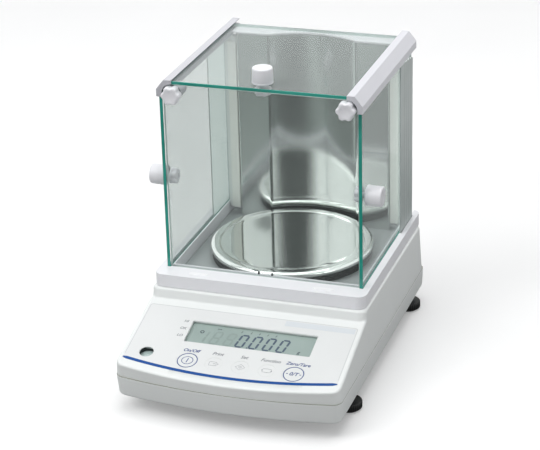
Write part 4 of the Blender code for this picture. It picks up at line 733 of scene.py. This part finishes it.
# Weighing pan: a pressed disc of mirror-polished stainless steel with a fine groove round its flat,
# a wide rounded shoulder and a short skirt.
def polished(name, pale, deep, rough, stretch, scale=60.0, brushed=0.25):
    """Bright steel with faint polishing lines, longest along the axis with the smallest stretch."""
    finish, tree, steel = paint(name)
    steel.inputs["Metallic"].default_value = 1.0
    lines = texture(tree, "ShaderNodeTexNoise", Scale=scale, Detail=4.0, Roughness=0.6)
    turn = tree.nodes.new("ShaderNodeMapping")
    turn.inputs["Scale"].default_value = stretch
    place = tree.nodes["Texture Coordinate"]
    tree.links.new(place.outputs["Object"], turn.inputs["Vector"])
    tree.links.new(turn.outputs["Vector"], lines.inputs["Vector"])
    shade_between(tree, lines.outputs["Fac"], steel.inputs["Base Color"], deep, pale)
    range_into(tree, lines.outputs["Fac"], steel.inputs["Roughness"], rough * 0.9, rough * 1.1)
    steel.inputs["Anisotropic"].default_value = brushed
    return finish


pan_steel = polished("pan_steel", (0.80, 0.81, 0.79), (0.765, 0.775, 0.755), 0.04, (1, 1, 1), 40.0, 0.0)
shoulder = sweep_arc((71.75, 87.5), 3.2, 90, 0, 14)
pan_flat, pan_under = 90.3, 89.3
groove = [(64.8, pan_flat), (65.3, 90.22), (65.8, 90.34), (66.5, 90.6), (67.2, 90.7), (70.5, 90.72)]
skirt = [(74.95, 86.6), (74.7, 86.2), (74.2, 86.2), (73.95, 86.6), (73.6, 88.0), (71.0, pan_under)]
pan_profile = [(r, pan_flat) for r in (0, 30, 60)] + groove + [*map(tuple, shoulder)] + skirt
pan_profile += [(r, pan_under) for r in (30, 0)]
rings = lathe_rings(pan_profile, 128) + pan_middle
put("pan_disc", *skin(rings, False, False), "pan", "stainless_steel", [pan_steel], ["weighing_pan"], sharp=50)


# Back wall: one bright steel sheet, flat at the sides and rolled back in the middle to clear the
# pan, with its edges folded back. A white cap closes it at the top, plugged over two screws.
wall_steel = polished("wall_steel", (0.74, 0.76, 0.745), (0.70, 0.72, 0.705), 0.13, (60, 60, 0.5), 40.0, 0.4)
fold_x, flat_y, bow_depth, sheet = 42.2, 122.4, 12.5, 1.2
bow = (fold_x**2 + bow_depth**2) / (2 * bow_depth)
fold_round, wall_half, hem_y = 1.6, 73.5, 131.0
across = np.linspace(fold_round - wall_half, wall_half - fold_round, 361)
rolled = np.maximum(np.sqrt(bow**2 - np.minimum(across**2, fold_x**2)) - bow + bow_depth, 0)
softened = np.convolve(np.pad(rolled, 4, mode="edge"), np.full(9, 1 / 9), mode="valid")
left_fold = sweep_arc((fold_round - wall_half, flat_y + fold_round), fold_round, 180, 270, 5)[:-1]
left_fold = np.concatenate([[(-wall_half, hem_y)], left_fold])
middle_line = np.column_stack([across, flat_y + softened])
front_line = np.concatenate([left_fold, middle_line, (left_fold * (-1, 1))[::-1]])
ahead = np.gradient(front_line, axis=0)
ahead /= np.linalg.norm(ahead, axis=1)[:, None]
rear_line_of_wall = front_line + sheet * np.stack([-ahead[:, 1], ahead[:, 0]], axis=1)
outline = np.concatenate([front_line, rear_line_of_wall[::-1]])
wall_top_z = 260.6
rings = np.stack([np.column_stack([outline, np.full(len(outline), z)]) for z in (floor_seat_z, wall_top_z)])
put("back_wall", *skin(rings), "base", "stainless_steel", [wall_steel], ["back_panel"], sharp=24)
dress(tray_white_painted_light, "back_cap")
ease("back_cap", 0.3, 2)
cap_z, plug_y = 262.0, 136.4
plugs = [pill((x, plug_y), 14.0, 6.4, cap_z, cap_z + 0.62) for x in (-64.0, 64.0)]
put("cap_plugs", *gather(plugs), "base", "shield_plastic", [tray_white_painted_light])


# Rear posts, seal strips and door guides: grey-green extrusions that stop draughts at the doors'
# rear edges. The outer guides are ridged, and the inner strips are soft and cream.
post_grey = moulded("post_grey", (0.42, 0.465, 0.455), (0.385, 0.43, 0.42), 0.45)
strip_cream = moulded("strip_cream", (0.89, 0.91, 0.86), (0.86, 0.88, 0.83), 0.62, 900.0, 0.2)
# The guides' inward faces take a pale paint that glows a little: painted light on faces that sit in shade
# behind the glass.
guide_painted_glow = moulded("guide_painted_glow", (0.90, 0.93, 0.92), (0.88, 0.91, 0.90), 0.5)
glow = guide_painted_glow.node_tree.nodes["Principled BSDF"]
glow.inputs["Emission Color"].default_value = (0.92, 1.0, 0.98, 1)
glow.inputs["Emission Strength"].default_value = 0.48
# The rear posts take a paler copy of the grey-green, as painted light on faces that sit in shade.
post_painted_light = moulded("post_painted_light", (0.78, 0.815, 0.80), (0.75, 0.785, 0.77), 0.45)
dress(post_painted_light, "left_rear_post", "right_rear_post")
dress(strip_cream, "left_seal_strip", "right_seal_strip")
for name in ("left_rear_post", "right_rear_post", "left_seal_strip", "right_seal_strip"):
    ease(name, 0.4, 2)
SIDES = (("left", -1), ("right", 1))
guide_front, guide_rear, guide_low, guide_inner, ridges = 93.0, 136.0, 87.1, 90.85, 4
guide_y = np.linspace(guide_front, guide_rear, 130)
ridge = 0.5 - 0.5 * np.cos(2 * math.pi * np.clip((guide_y - 105) / 28.5, 0, 1) * ridges)
outer_x = guide_inner + 1.0 + 0.4 * ridge
outline = np.concatenate([
    np.column_stack([np.full(2, guide_inner), [guide_rear, guide_front]]),
    np.column_stack([outer_x, guide_y]),
])
guide_top = np.interp(outline[:, 1], [122.0, guide_rear], [251.3, 246.3])
for side, sign in SIDES:
    plan = outline * (sign, 1)
    guide_foot = np.full(len(plan), guide_low)
    rings = np.stack([np.column_stack([plan, guide_foot]), np.column_stack([plan, guide_top])])
    guide = put(f"{side}_ridged_guide", *skin(rings), "base", "post_plastic", [post_grey, guide_painted_glow],
                [f"{side}_door_guide"], sharp=20)
    # Faces turned inward take the glowing painted-light paint, the rest the grey-green.
    for face in guide.data.polygons:
        face.material_index = int(sign * face.normal.x < -0.5)


# Glass: 3 mm float panes with ground edges that show deep green. The front pane is fixed, the two
# side panes and the top pane slide.
def glazed(name):
    """Clear float glass: tinted and nearly see-through square on, with more of a sheen at a slant."""
    finish, tree, pane = paint(name)
    pane.inputs["Roughness"].default_value = 0.02
    pane.inputs["IOR"].default_value = 1.5
    clear = tree.nodes.new("ShaderNodeBsdfTransparent")
    tint = tree.nodes.new("ShaderNodeMixRGB")
    tint.inputs["Color1"].default_value = (0.872, 0.887, 0.882, 1)
    tint.inputs["Color2"].default_value = (0.97, 0.975, 0.975, 1)
    tree.links.new(tint.outputs["Color"], clear.inputs["Color"])
    blend = tree.nodes.new("ShaderNodeMixShader")
    tree.links.new(clear.outputs["BSDF"], blend.inputs[1])
    tree.links.new(pane.outputs["BSDF"], blend.inputs[2])
    tree.links.new(blend.outputs["Shader"], tree.nodes["Material Output"].inputs["Surface"])
    ray = tree.nodes.new("ShaderNodeLightPath")
    lit_by = tree.nodes.new("ShaderNodeMath")
    lit_by.operation = "MAXIMUM"
    tree.links.new(ray.outputs["Is Shadow Ray"], lit_by.inputs[0])
    tree.links.new(ray.outputs["Is Diffuse Ray"], lit_by.inputs[1])
    tree.links.new(lit_by.outputs[0], tint.inputs["Fac"])
    slant = tree.nodes.new("ShaderNodeLayerWeight")
    slant.inputs["Blend"].default_value = 0.5
    rise = tree.nodes.new("ShaderNodeMath")
    rise.operation = "POWER"
    rise.inputs[1].default_value = 3.6
    tree.links.new(slant.outputs["Facing"], rise.inputs[0])
    sheen = tree.nodes.new("ShaderNodeMath")
    sheen.operation = "MULTIPLY"
    range_into(tree, rise.outputs[0], sheen.inputs[0], 0.03, 0.40)
    range_into(tree, lit_by.outputs[0], sheen.inputs[1], 1.0, 0.1)
    tree.links.new(sheen.outputs[0], blend.inputs["Fac"])
    film = texture(tree, "ShaderNodeTexNoise", Scale=12.0, Detail=2.0)
    veil_deep, veil_pale = (0.84, 0.90, 0.885), (0.88, 0.935, 0.92)
    shade_between(tree, film.outputs["Fac"], pane.inputs["Base Color"], veil_deep, veil_pale)
    return finish


def ground_edge(name, deep, pale, rough):
    """The ground rim of a pane, clouded like a thick stack of glass."""
    finish, tree, rim_skin = paint(name)
    seeds = texture(tree, "ShaderNodeTexNoise", Scale=45.0, Detail=3.0)
    shade_between(tree, seeds.outputs["Fac"], rim_skin.inputs["Base Color"], deep, pale)
    rim_skin.inputs["Roughness"].default_value = rough
    return finish


clear_glass = glazed("clear_glass")
edge_green = ground_edge("edge_green", (0.008, 0.235, 0.18), (0.018, 0.33, 0.26), 0.15)
edge_green.node_tree.nodes["Principled BSDF"].inputs["Coat Weight"].default_value = 0.5
# A pale copy of the green edge is painted light: it goes on edges that face the back, and on all of the front
# pane's edges.
edge_painted_light = ground_edge("edge_painted_light", (0.50, 0.60, 0.57), (0.58, 0.68, 0.65), 0.2)


def pane(name, outline, axis, low, high, body, stands_for, edge=1, arris=0.35):
    """A flat pane: an outline drawn across an axis, with a small ground chamfer on both faces."""
    outline = np.asarray(outline, float)
    middle = (outline.max(axis=0) + outline.min(axis=0)) / 2
    half = (outline.max(axis=0) - outline.min(axis=0)) / 2
    small = middle + (outline - middle) * (1 - arris / half)
    made = []
    for shape, depth in ((small, low), (outline, low + arris), (outline, high - arris), (small, high)):
        made.append(np.insert(shape, axis, depth, axis=1))
    paints = [clear_glass, edge_green, edge_painted_light]
    piece = put(name, *skin(np.stack(made)), body, "float_glass", paints, [stands_for], sharp=20)
    normals = np.empty(len(piece.data.polygons) * 3, np.float32)
    piece.data.polygons.foreach_get("normal", normals)
    normals = normals.reshape(-1, 3)
    paint_of = np.where(np.abs(normals[:, axis]) < 0.9, edge, 0)
    # Edges facing the back take the pale painted-light copy of the green.
    paint_of[(normals[:, 1] > 0.5) & (paint_of > 0)] = 2
    piece.data.polygons.foreach_set("material_index", paint_of.astype(np.int32))
    return piece


def square(x, y):
    """Four corners of an upright rectangle between two pairs of limits."""
    return [(x[0], y[0]), (x[1], y[0]), (x[1], y[1]), (x[0], y[1])]


glass_thick, knob_z = 3.0, 254.0
front_half_wide, front_low, pane_round, front_face = 87.15, 88.6, 8.2, -29.5
corner = sweep_arc((front_half_wide - pane_round, knob_z), pane_round, 0, 90, 10)
front_foot = [(-front_half_wide, front_low), (front_half_wide, front_low)]
front_shape = np.concatenate([front_foot, corner, (corner * (-1, 1))[::-1]])
pane("front_pane", front_shape, 1, front_face, front_face + glass_thick, "base", "front_glass", 2)
door_inner, door_shape = 87.5, square((-30.7, 136.3), (87.0, 254.9))
for side, sign in SIDES:
    low, high = sorted((sign * door_inner, sign * (door_inner + glass_thick)))
    pane(f"{side}_door_pane", door_shape, 0, low, high, f"{side}_door", f"{side}_door_glass")
lid_low, lid_shape = 262.8, square((-82, 82), (-31.1, 135.9))
pane("top_door_pane", lid_shape, 2, lid_low, lid_low + glass_thick, "top_door", "top_door_glass")


# Rails and corner bosses: white mouldings along the top edges, grooved for the top pane and the side
# panes, with eased edges, and the bosses take the thumb screws. The rails and bosses take a darker copy
# of the shield's white as painted shade, and the left rail takes a darker one still.
rail_white_painted_shade = moulded("rail_white_painted_shade", (0.62, 0.62, 0.66), (0.60, 0.602, 0.64), 0.40)
dress(rail_white_painted_shade, "right_rail", "left_corner_boss", "right_corner_boss")
left_rail_painted_shade = moulded("left_rail_painted_shade", (0.50, 0.50, 0.535), (0.485, 0.486, 0.52), 0.40)
dress(left_rail_painted_shade, "left_rail")
for name in ("left_rail", "right_rail"):
    ease(name, 0.9)
for name in ("left_corner_boss", "right_corner_boss"):
    ease(name, 0.6)


# Thumb screws at the top corners: white six-lobed heads with a rounded face and a shallow dimple.
knob_white = moulded("knob_white", (0.80, 0.80, 0.83), (0.78, 0.78, 0.812), 0.33)


def lobed_rings(profile, lobes, depth, steps=96):
    """A turned profile whose radius dips between its lobes, (radius, height, share of the dip)."""
    turn = np.linspace(0, 2 * math.pi, steps, endpoint=False)
    profile = np.asarray(profile, float)
    dip = 1 - depth * profile[:, 2:] * (0.5 - 0.5 * np.cos(lobes * turn)) ** 1.4
    radius = profile[:, :1] * dip
    height = np.repeat(profile[:, 1:2], steps, axis=1)
    return np.stack([radius * np.cos(turn), radius * np.sin(turn), height], axis=-1)


head_radius, head_length, face_round, stem_radius, stem_end = 8.6, 8.5, 1.8, 3.0, -9.0
screw_x, screw_y, lobes = 78.0, -29.8, 6
round_face = sweep_arc((head_radius - face_round, head_length - face_round), face_round, 0, 90, 6)
head = [(0, 0, 0), (7.4, 0, 1), (8.3, 0.3, 1), (head_radius, 1.0, 1)]
head += [(r, z, 1) for r, z in round_face] + [(5.6, head_length, 0.6), (4.6, 8.2, 0), (0, 8.0, 0)]
stem = [(0, 0.5, 0), (stem_radius, 0.5, 0), (stem_radius, stem_end, 0), (0, stem_end, 0)]
for side, sign in SIDES:
    parts = []
    for shape in (head, stem):
        across, up, out = np.moveaxis(lobed_rings(shape, lobes, 0.17), -1, 0)
        level = np.stack([sign * screw_x + across, screw_y - out, knob_z + up], axis=-1)
        parts.append(skin(level, False, False))
    put(f"{side}_thumb_screw", *gather(parts), f"{side}_corner_knob", "shield_plastic", [knob_white],
        [f"{side}_corner_knob"], sharp=38)


# Door pulls: turned white grips on a narrower neck, with a fine rim near the wide end, each held
# by a lobed nut on the inside of its pane.
grip_radius, grip_length, nose_round = 8.8, 14.8, 1.3
neck_radius, stud_radius, stud_end = 7.4, 2.4, -9.0
nose = sweep_arc((grip_radius - nose_round, grip_length - nose_round), nose_round, 90, 0, 6)
rim = [(9.2, 2.6), (9.1, 2.35), (9.35, 2.1), (9.4, 1.5), (9.2, 0.95), (neck_radius, 0.8)]
stud = [(neck_radius, 0.0), (stud_radius, 0.0), (stud_radius, stud_end), (0, stud_end)]
grip = [(0, 14.5), (5.5, 14.65), *map(tuple, nose), *rim, *stud]
nut_radius, nut_bore, nut_top, nut_end, nut_round = 7.3, 2.7, -3.6, -9.6, 1.2
nut_edge = sweep_arc((nut_radius - nut_round, nut_end + nut_round), nut_round, 0, -90, 5)
flange = [(6.9, nut_top, 0), (nut_radius, -3.9, 0), (nut_radius, -4.9, 0), (7.0, -5.2, 0)]
flange.append((nut_radius, -5.5, 1))
nut = [(nut_bore, nut_top, 0), *flange, *[(r, z, 1) for r, z in nut_edge]]
nut += [(nut_bore, nut_end, 0), (nut_bore, nut_top, 0)]
pull_y, side_pull_x, side_pull_z, top_pull_z = -18.6, 90.8, 173.2, 266.1
top_turn = np.eye(3)
right_turn = np.array([(0, 0, 1), (0, 1, 0), (-1, 0, 0)], float)
left_turn = np.array([(0, 0, -1), (0, 1, 0), (1, 0, 0)], float)
for where, spot, turn in (
    ("top", (0, pull_y, top_pull_z), top_turn),
    ("left", (-side_pull_x, pull_y, side_pull_z), left_turn),
    ("right", (side_pull_x, pull_y, side_pull_z), right_turn),
):
    for name, rings, stands_for in (
        (f"{where}_grip", lathe_rings(grip, 64), f"{where}_door_pull"),
        (f"{where}_lobed_nut", lobed_rings(nut, lobes, 0.2), f"{where}_pull_nut"),
    ):
        put(name, *skin(rings @ turn.T + spot, False, False), f"{where}_door", "shield_plastic", [knob_white],
            [stands_for], sharp=40)


# Levelling feet: black wheels with a knurled edge on a threaded stud, and a flat pad below.
pad = [(0, 0, 0), (9.4, 0, 0), (10.0, 0.5, 0), (10.0, 1.2, 0)]
wheel = [(11.2, 1.3, 0.4), (12.0, 2.0, 1), (12.0, 7.2, 1), (11.3, 8.0, 0.4), (5.5, 8.0, 0), (4.5, 8.4, 0)]
foot_profile = [*pad, *wheel, (4.5, 27.0, 0), (0, 27.0, 0)]
foot_x, knurls = 91.5, 36
for end, foot_y in (("front", -81.3), ("rear", 122.3)):
    for side, sign in SIDES:
        name = f"{end}_{side}_foot"
        rings = lobed_rings(foot_profile, knurls, 0.05, 216) + (sign * foot_x, foot_y, 0)
        put(name + "_wheel", *skin(rings, False, False), name, "black_plastic", [satin_black], [name],
            sharp=45)


# Inside the case: boards, the sensor and the sockets at the back, and the screws that hold the two
# halves together from below.
board_green, tree, lacquer = paint("board_green")
tracks = texture(tree, "ShaderNodeTexVoronoi", Scale=260.0)
deep_green, pale_green = (0.02, 0.13, 0.06), (0.04, 0.22, 0.11)
shade_between(tree, tracks.outputs["Distance"], lacquer.inputs["Base Color"], deep_green, pale_green)
lacquer.inputs["Roughness"].default_value = 0.35
dress(board_green, "main_board", "key_board")
dress(satin_black, "power_jack")
dress(cup_black, "lcd_module")
plated, tree, zinc = paint("plated_steel")
zinc.inputs["Metallic"].default_value = 1.0
spangle = texture(tree, "ShaderNodeTexVoronoi", Scale=900.0)
deep_zinc, pale_zinc = (0.48, 0.48, 0.47), (0.58, 0.58, 0.56)
shade_between(tree, spangle.outputs["Distance"], zinc.inputs["Base Color"], deep_zinc, pale_zinc)
range_into(tree, spangle.outputs["Distance"], zinc.inputs["Roughness"], 0.28, 0.42)
dress(plated, "tuning_fork_sensor", "serial_port")
dress(plated, *[name for name in nodes if name.endswith("case_screw")])


# Studio: a pale floor that stays white round the soft shadow, a broad lamp high on the left, a
# weaker one on the right, one overhead, and a sky that polished surfaces see dark on the front side.
def sheet_on_floor(name, x, y, z):
    """A flat sheet of the studio between two pairs of limits at a height, in metres."""
    mesh = bpy.data.meshes.new(name)
    mesh.from_pydata([(*corner, z) for corner in square(x, y)], [], [(0, 1, 2, 3)])
    laid = bpy.data.objects.new(name, mesh)
    scene.collection.objects.link(laid)
    return laid


floor_reach = (-6.0, 6.0)
studio_floor = sheet_on_floor("studio_floor", floor_reach, floor_reach, 0.0)
floor_paint, tree, floor_skin = paint("floor_paper")
floor_skin.inputs["Roughness"].default_value = 0.9
floor_skin.inputs["Emission Color"].default_value = (1, 1, 1, 1)
fibre = texture(tree, "ShaderNodeTexNoise", Scale=9.0, Detail=2.0)
paper_deep, paper_pale = (0.80, 0.80, 0.80), (0.82, 0.82, 0.82)
shade_between(tree, fibre.outputs["Fac"], floor_skin.inputs["Base Color"], paper_deep, paper_pale)
seen = tree.nodes.new("ShaderNodeLightPath")
seen_by = seen.outputs["Is Camera Ray"]
for ray in ("Is Glossy Ray", "Is Transmission Ray"):
    either = tree.nodes.new("ShaderNodeMath")
    either.operation = "MAXIMUM"
    tree.links.new(seen_by, either.inputs[0])
    tree.links.new(seen.outputs[ray], either.inputs[1])
    seen_by = either.outputs[0]
range_into(tree, seen_by, floor_skin.inputs["Emission Strength"], 0.0, 0.22)
bounce = tree.nodes.new("ShaderNodeMixRGB")
bounce.blend_type = "MULTIPLY"
bounce.inputs["Color2"].default_value = (0.5, 0.5, 0.5, 1)
tree.links.new(seen.outputs["Is Diffuse Ray"], bounce.inputs["Fac"])
tree.links.new(floor_skin.inputs["Base Color"].links[0].from_socket, bounce.inputs["Color1"])
tree.links.new(bounce.outputs["Color"], floor_skin.inputs["Base Color"])
studio_floor.data.materials.append(floor_paint)

sky = bpy.data.worlds.new("studio_sky")
sky.use_nodes = True
tree = sky.node_tree
toward = tree.nodes.new("ShaderNodeTexCoord")
front = tree.nodes.new("ShaderNodeVectorMath")
front.operation = "DOT_PRODUCT"
front.inputs[1].default_value = (0.26, -0.965, 0.0)
tree.links.new(toward.outputs["Generated"], front.inputs[0])
sky_ramp = tree.nodes.new("ShaderNodeValToRGB")
sky_ramp.color_ramp.elements[0].color = (0.95, 0.96, 0.97, 1)
sky_ramp.color_ramp.elements[0].position = 0.765
sky_ramp.color_ramp.elements[1].color = (0.045, 0.05, 0.05, 1)
sky_ramp.color_ramp.elements[1].position = 0.89
tree.links.new(front.outputs["Value"], sky_ramp.inputs["Fac"])
ray = tree.nodes.new("ShaderNodeLightPath")
mirrored = tree.nodes.new("ShaderNodeMixRGB")
mirrored.inputs["Color1"].default_value = (0.95, 0.96, 0.97, 1)
tree.links.new(ray.outputs["Is Glossy Ray"], mirrored.inputs["Fac"])
tree.links.new(sky_ramp.outputs["Color"], mirrored.inputs["Color2"])
tree.links.new(mirrored.outputs["Color"], tree.nodes["Background"].inputs["Color"])
range_into(tree, ray.outputs["Is Glossy Ray"], tree.nodes["Background"].inputs["Strength"], 0.45, 2.0)
scene.world = sky

for name, spot, size, watts in (
    ("key_lamp", (-1.3, -1.1, 1.9), 1.4, 23.0),
    ("fill_lamp", (1.9, -0.9, 0.4), 1.0, 5.5),
    ("top_lamp", (0.1, 0.1, 2.0), 1.5, 18.5),
):
    lamp = bpy.data.lights.new(name, "AREA")
    lamp.size = size
    lamp.energy = watts
    stand = bpy.data.objects.new(name, lamp)
    stand.location = spot
    stand.rotation_euler = (Vector((0, 0, 0.12)) - Vector(spot)).to_track_quat("-Z", "Y").to_euler()
    scene.collection.objects.link(stand)

# A grey card on the floor, palest left of its middle and darkest right of it, which only polished
# surfaces show.
grey_card = sheet_on_floor("grey_card", (-1.4, 1.4), (-1.6, 0.5), 0.002)
card_grey, tree, felt = paint("card_felt")
nap = texture(tree, "ShaderNodeTexNoise", Scale=200.0)
shade_between(tree, nap.outputs["Fac"], felt.inputs["Base Color"], (0.03, 0.033, 0.033), (0.045, 0.05, 0.05))
split = tree.nodes.new("ShaderNodeSeparateXYZ")
tree.links.new(tree.nodes["Texture Coordinate"].outputs["Object"], split.inputs["Vector"])
sideways = tree.nodes.new("ShaderNodeMapRange")
sideways.inputs["From Min"].default_value = -0.6
sideways.inputs["From Max"].default_value = 0.6
tree.links.new(split.outputs["X"], sideways.inputs["Value"])
tones = tree.nodes.new("ShaderNodeValToRGB")
tones.color_ramp.elements[0].color = (0.15, 0.16, 0.157, 1)
tones.color_ramp.elements[0].position = 0.10
tones.color_ramp.elements[1].color = (0.20, 0.215, 0.21, 1)
tones.color_ramp.elements[1].position = 0.95
for place, tone in ((0.24, 0.18), (0.35, 0.34), (0.50, 0.07), (0.62, 0.03)):
    step = tones.color_ramp.elements.new(place)
    step.color = (tone, tone * 1.1, tone * 1.06, 1)
tree.links.new(sideways.outputs["Result"], tones.inputs["Fac"])
tree.links.new(tones.outputs["Color"], felt.inputs["Emission Color"])
felt.inputs["Emission Strength"].default_value = 1.0
felt.inputs["Roughness"].default_value = 0.9
grey_card.data.materials.append(card_grey)
grey_card.visible_camera = False
grey_card.visible_diffuse = False
grey_card.visible_transmission = False
grey_card.visible_shadow = False

# Camera at the photograph's place, a long lens from the right front looking down on the balance.
lens = bpy.data.cameras.new("photo_camera")
lens.lens = 128.67
lens.sensor_width = 36.0
camera = bpy.data.objects.new("photo_camera", lens)
camera.location = (0.5017, -1.4847, 0.8117)
camera.rotation_euler = [math.radians(turn) for turn in (66.3998, 1.4117, 18.1659)]
scene.collection.objects.link(camera)
scene.camera = camera
scene.view_settings.view_transform = "Standard"
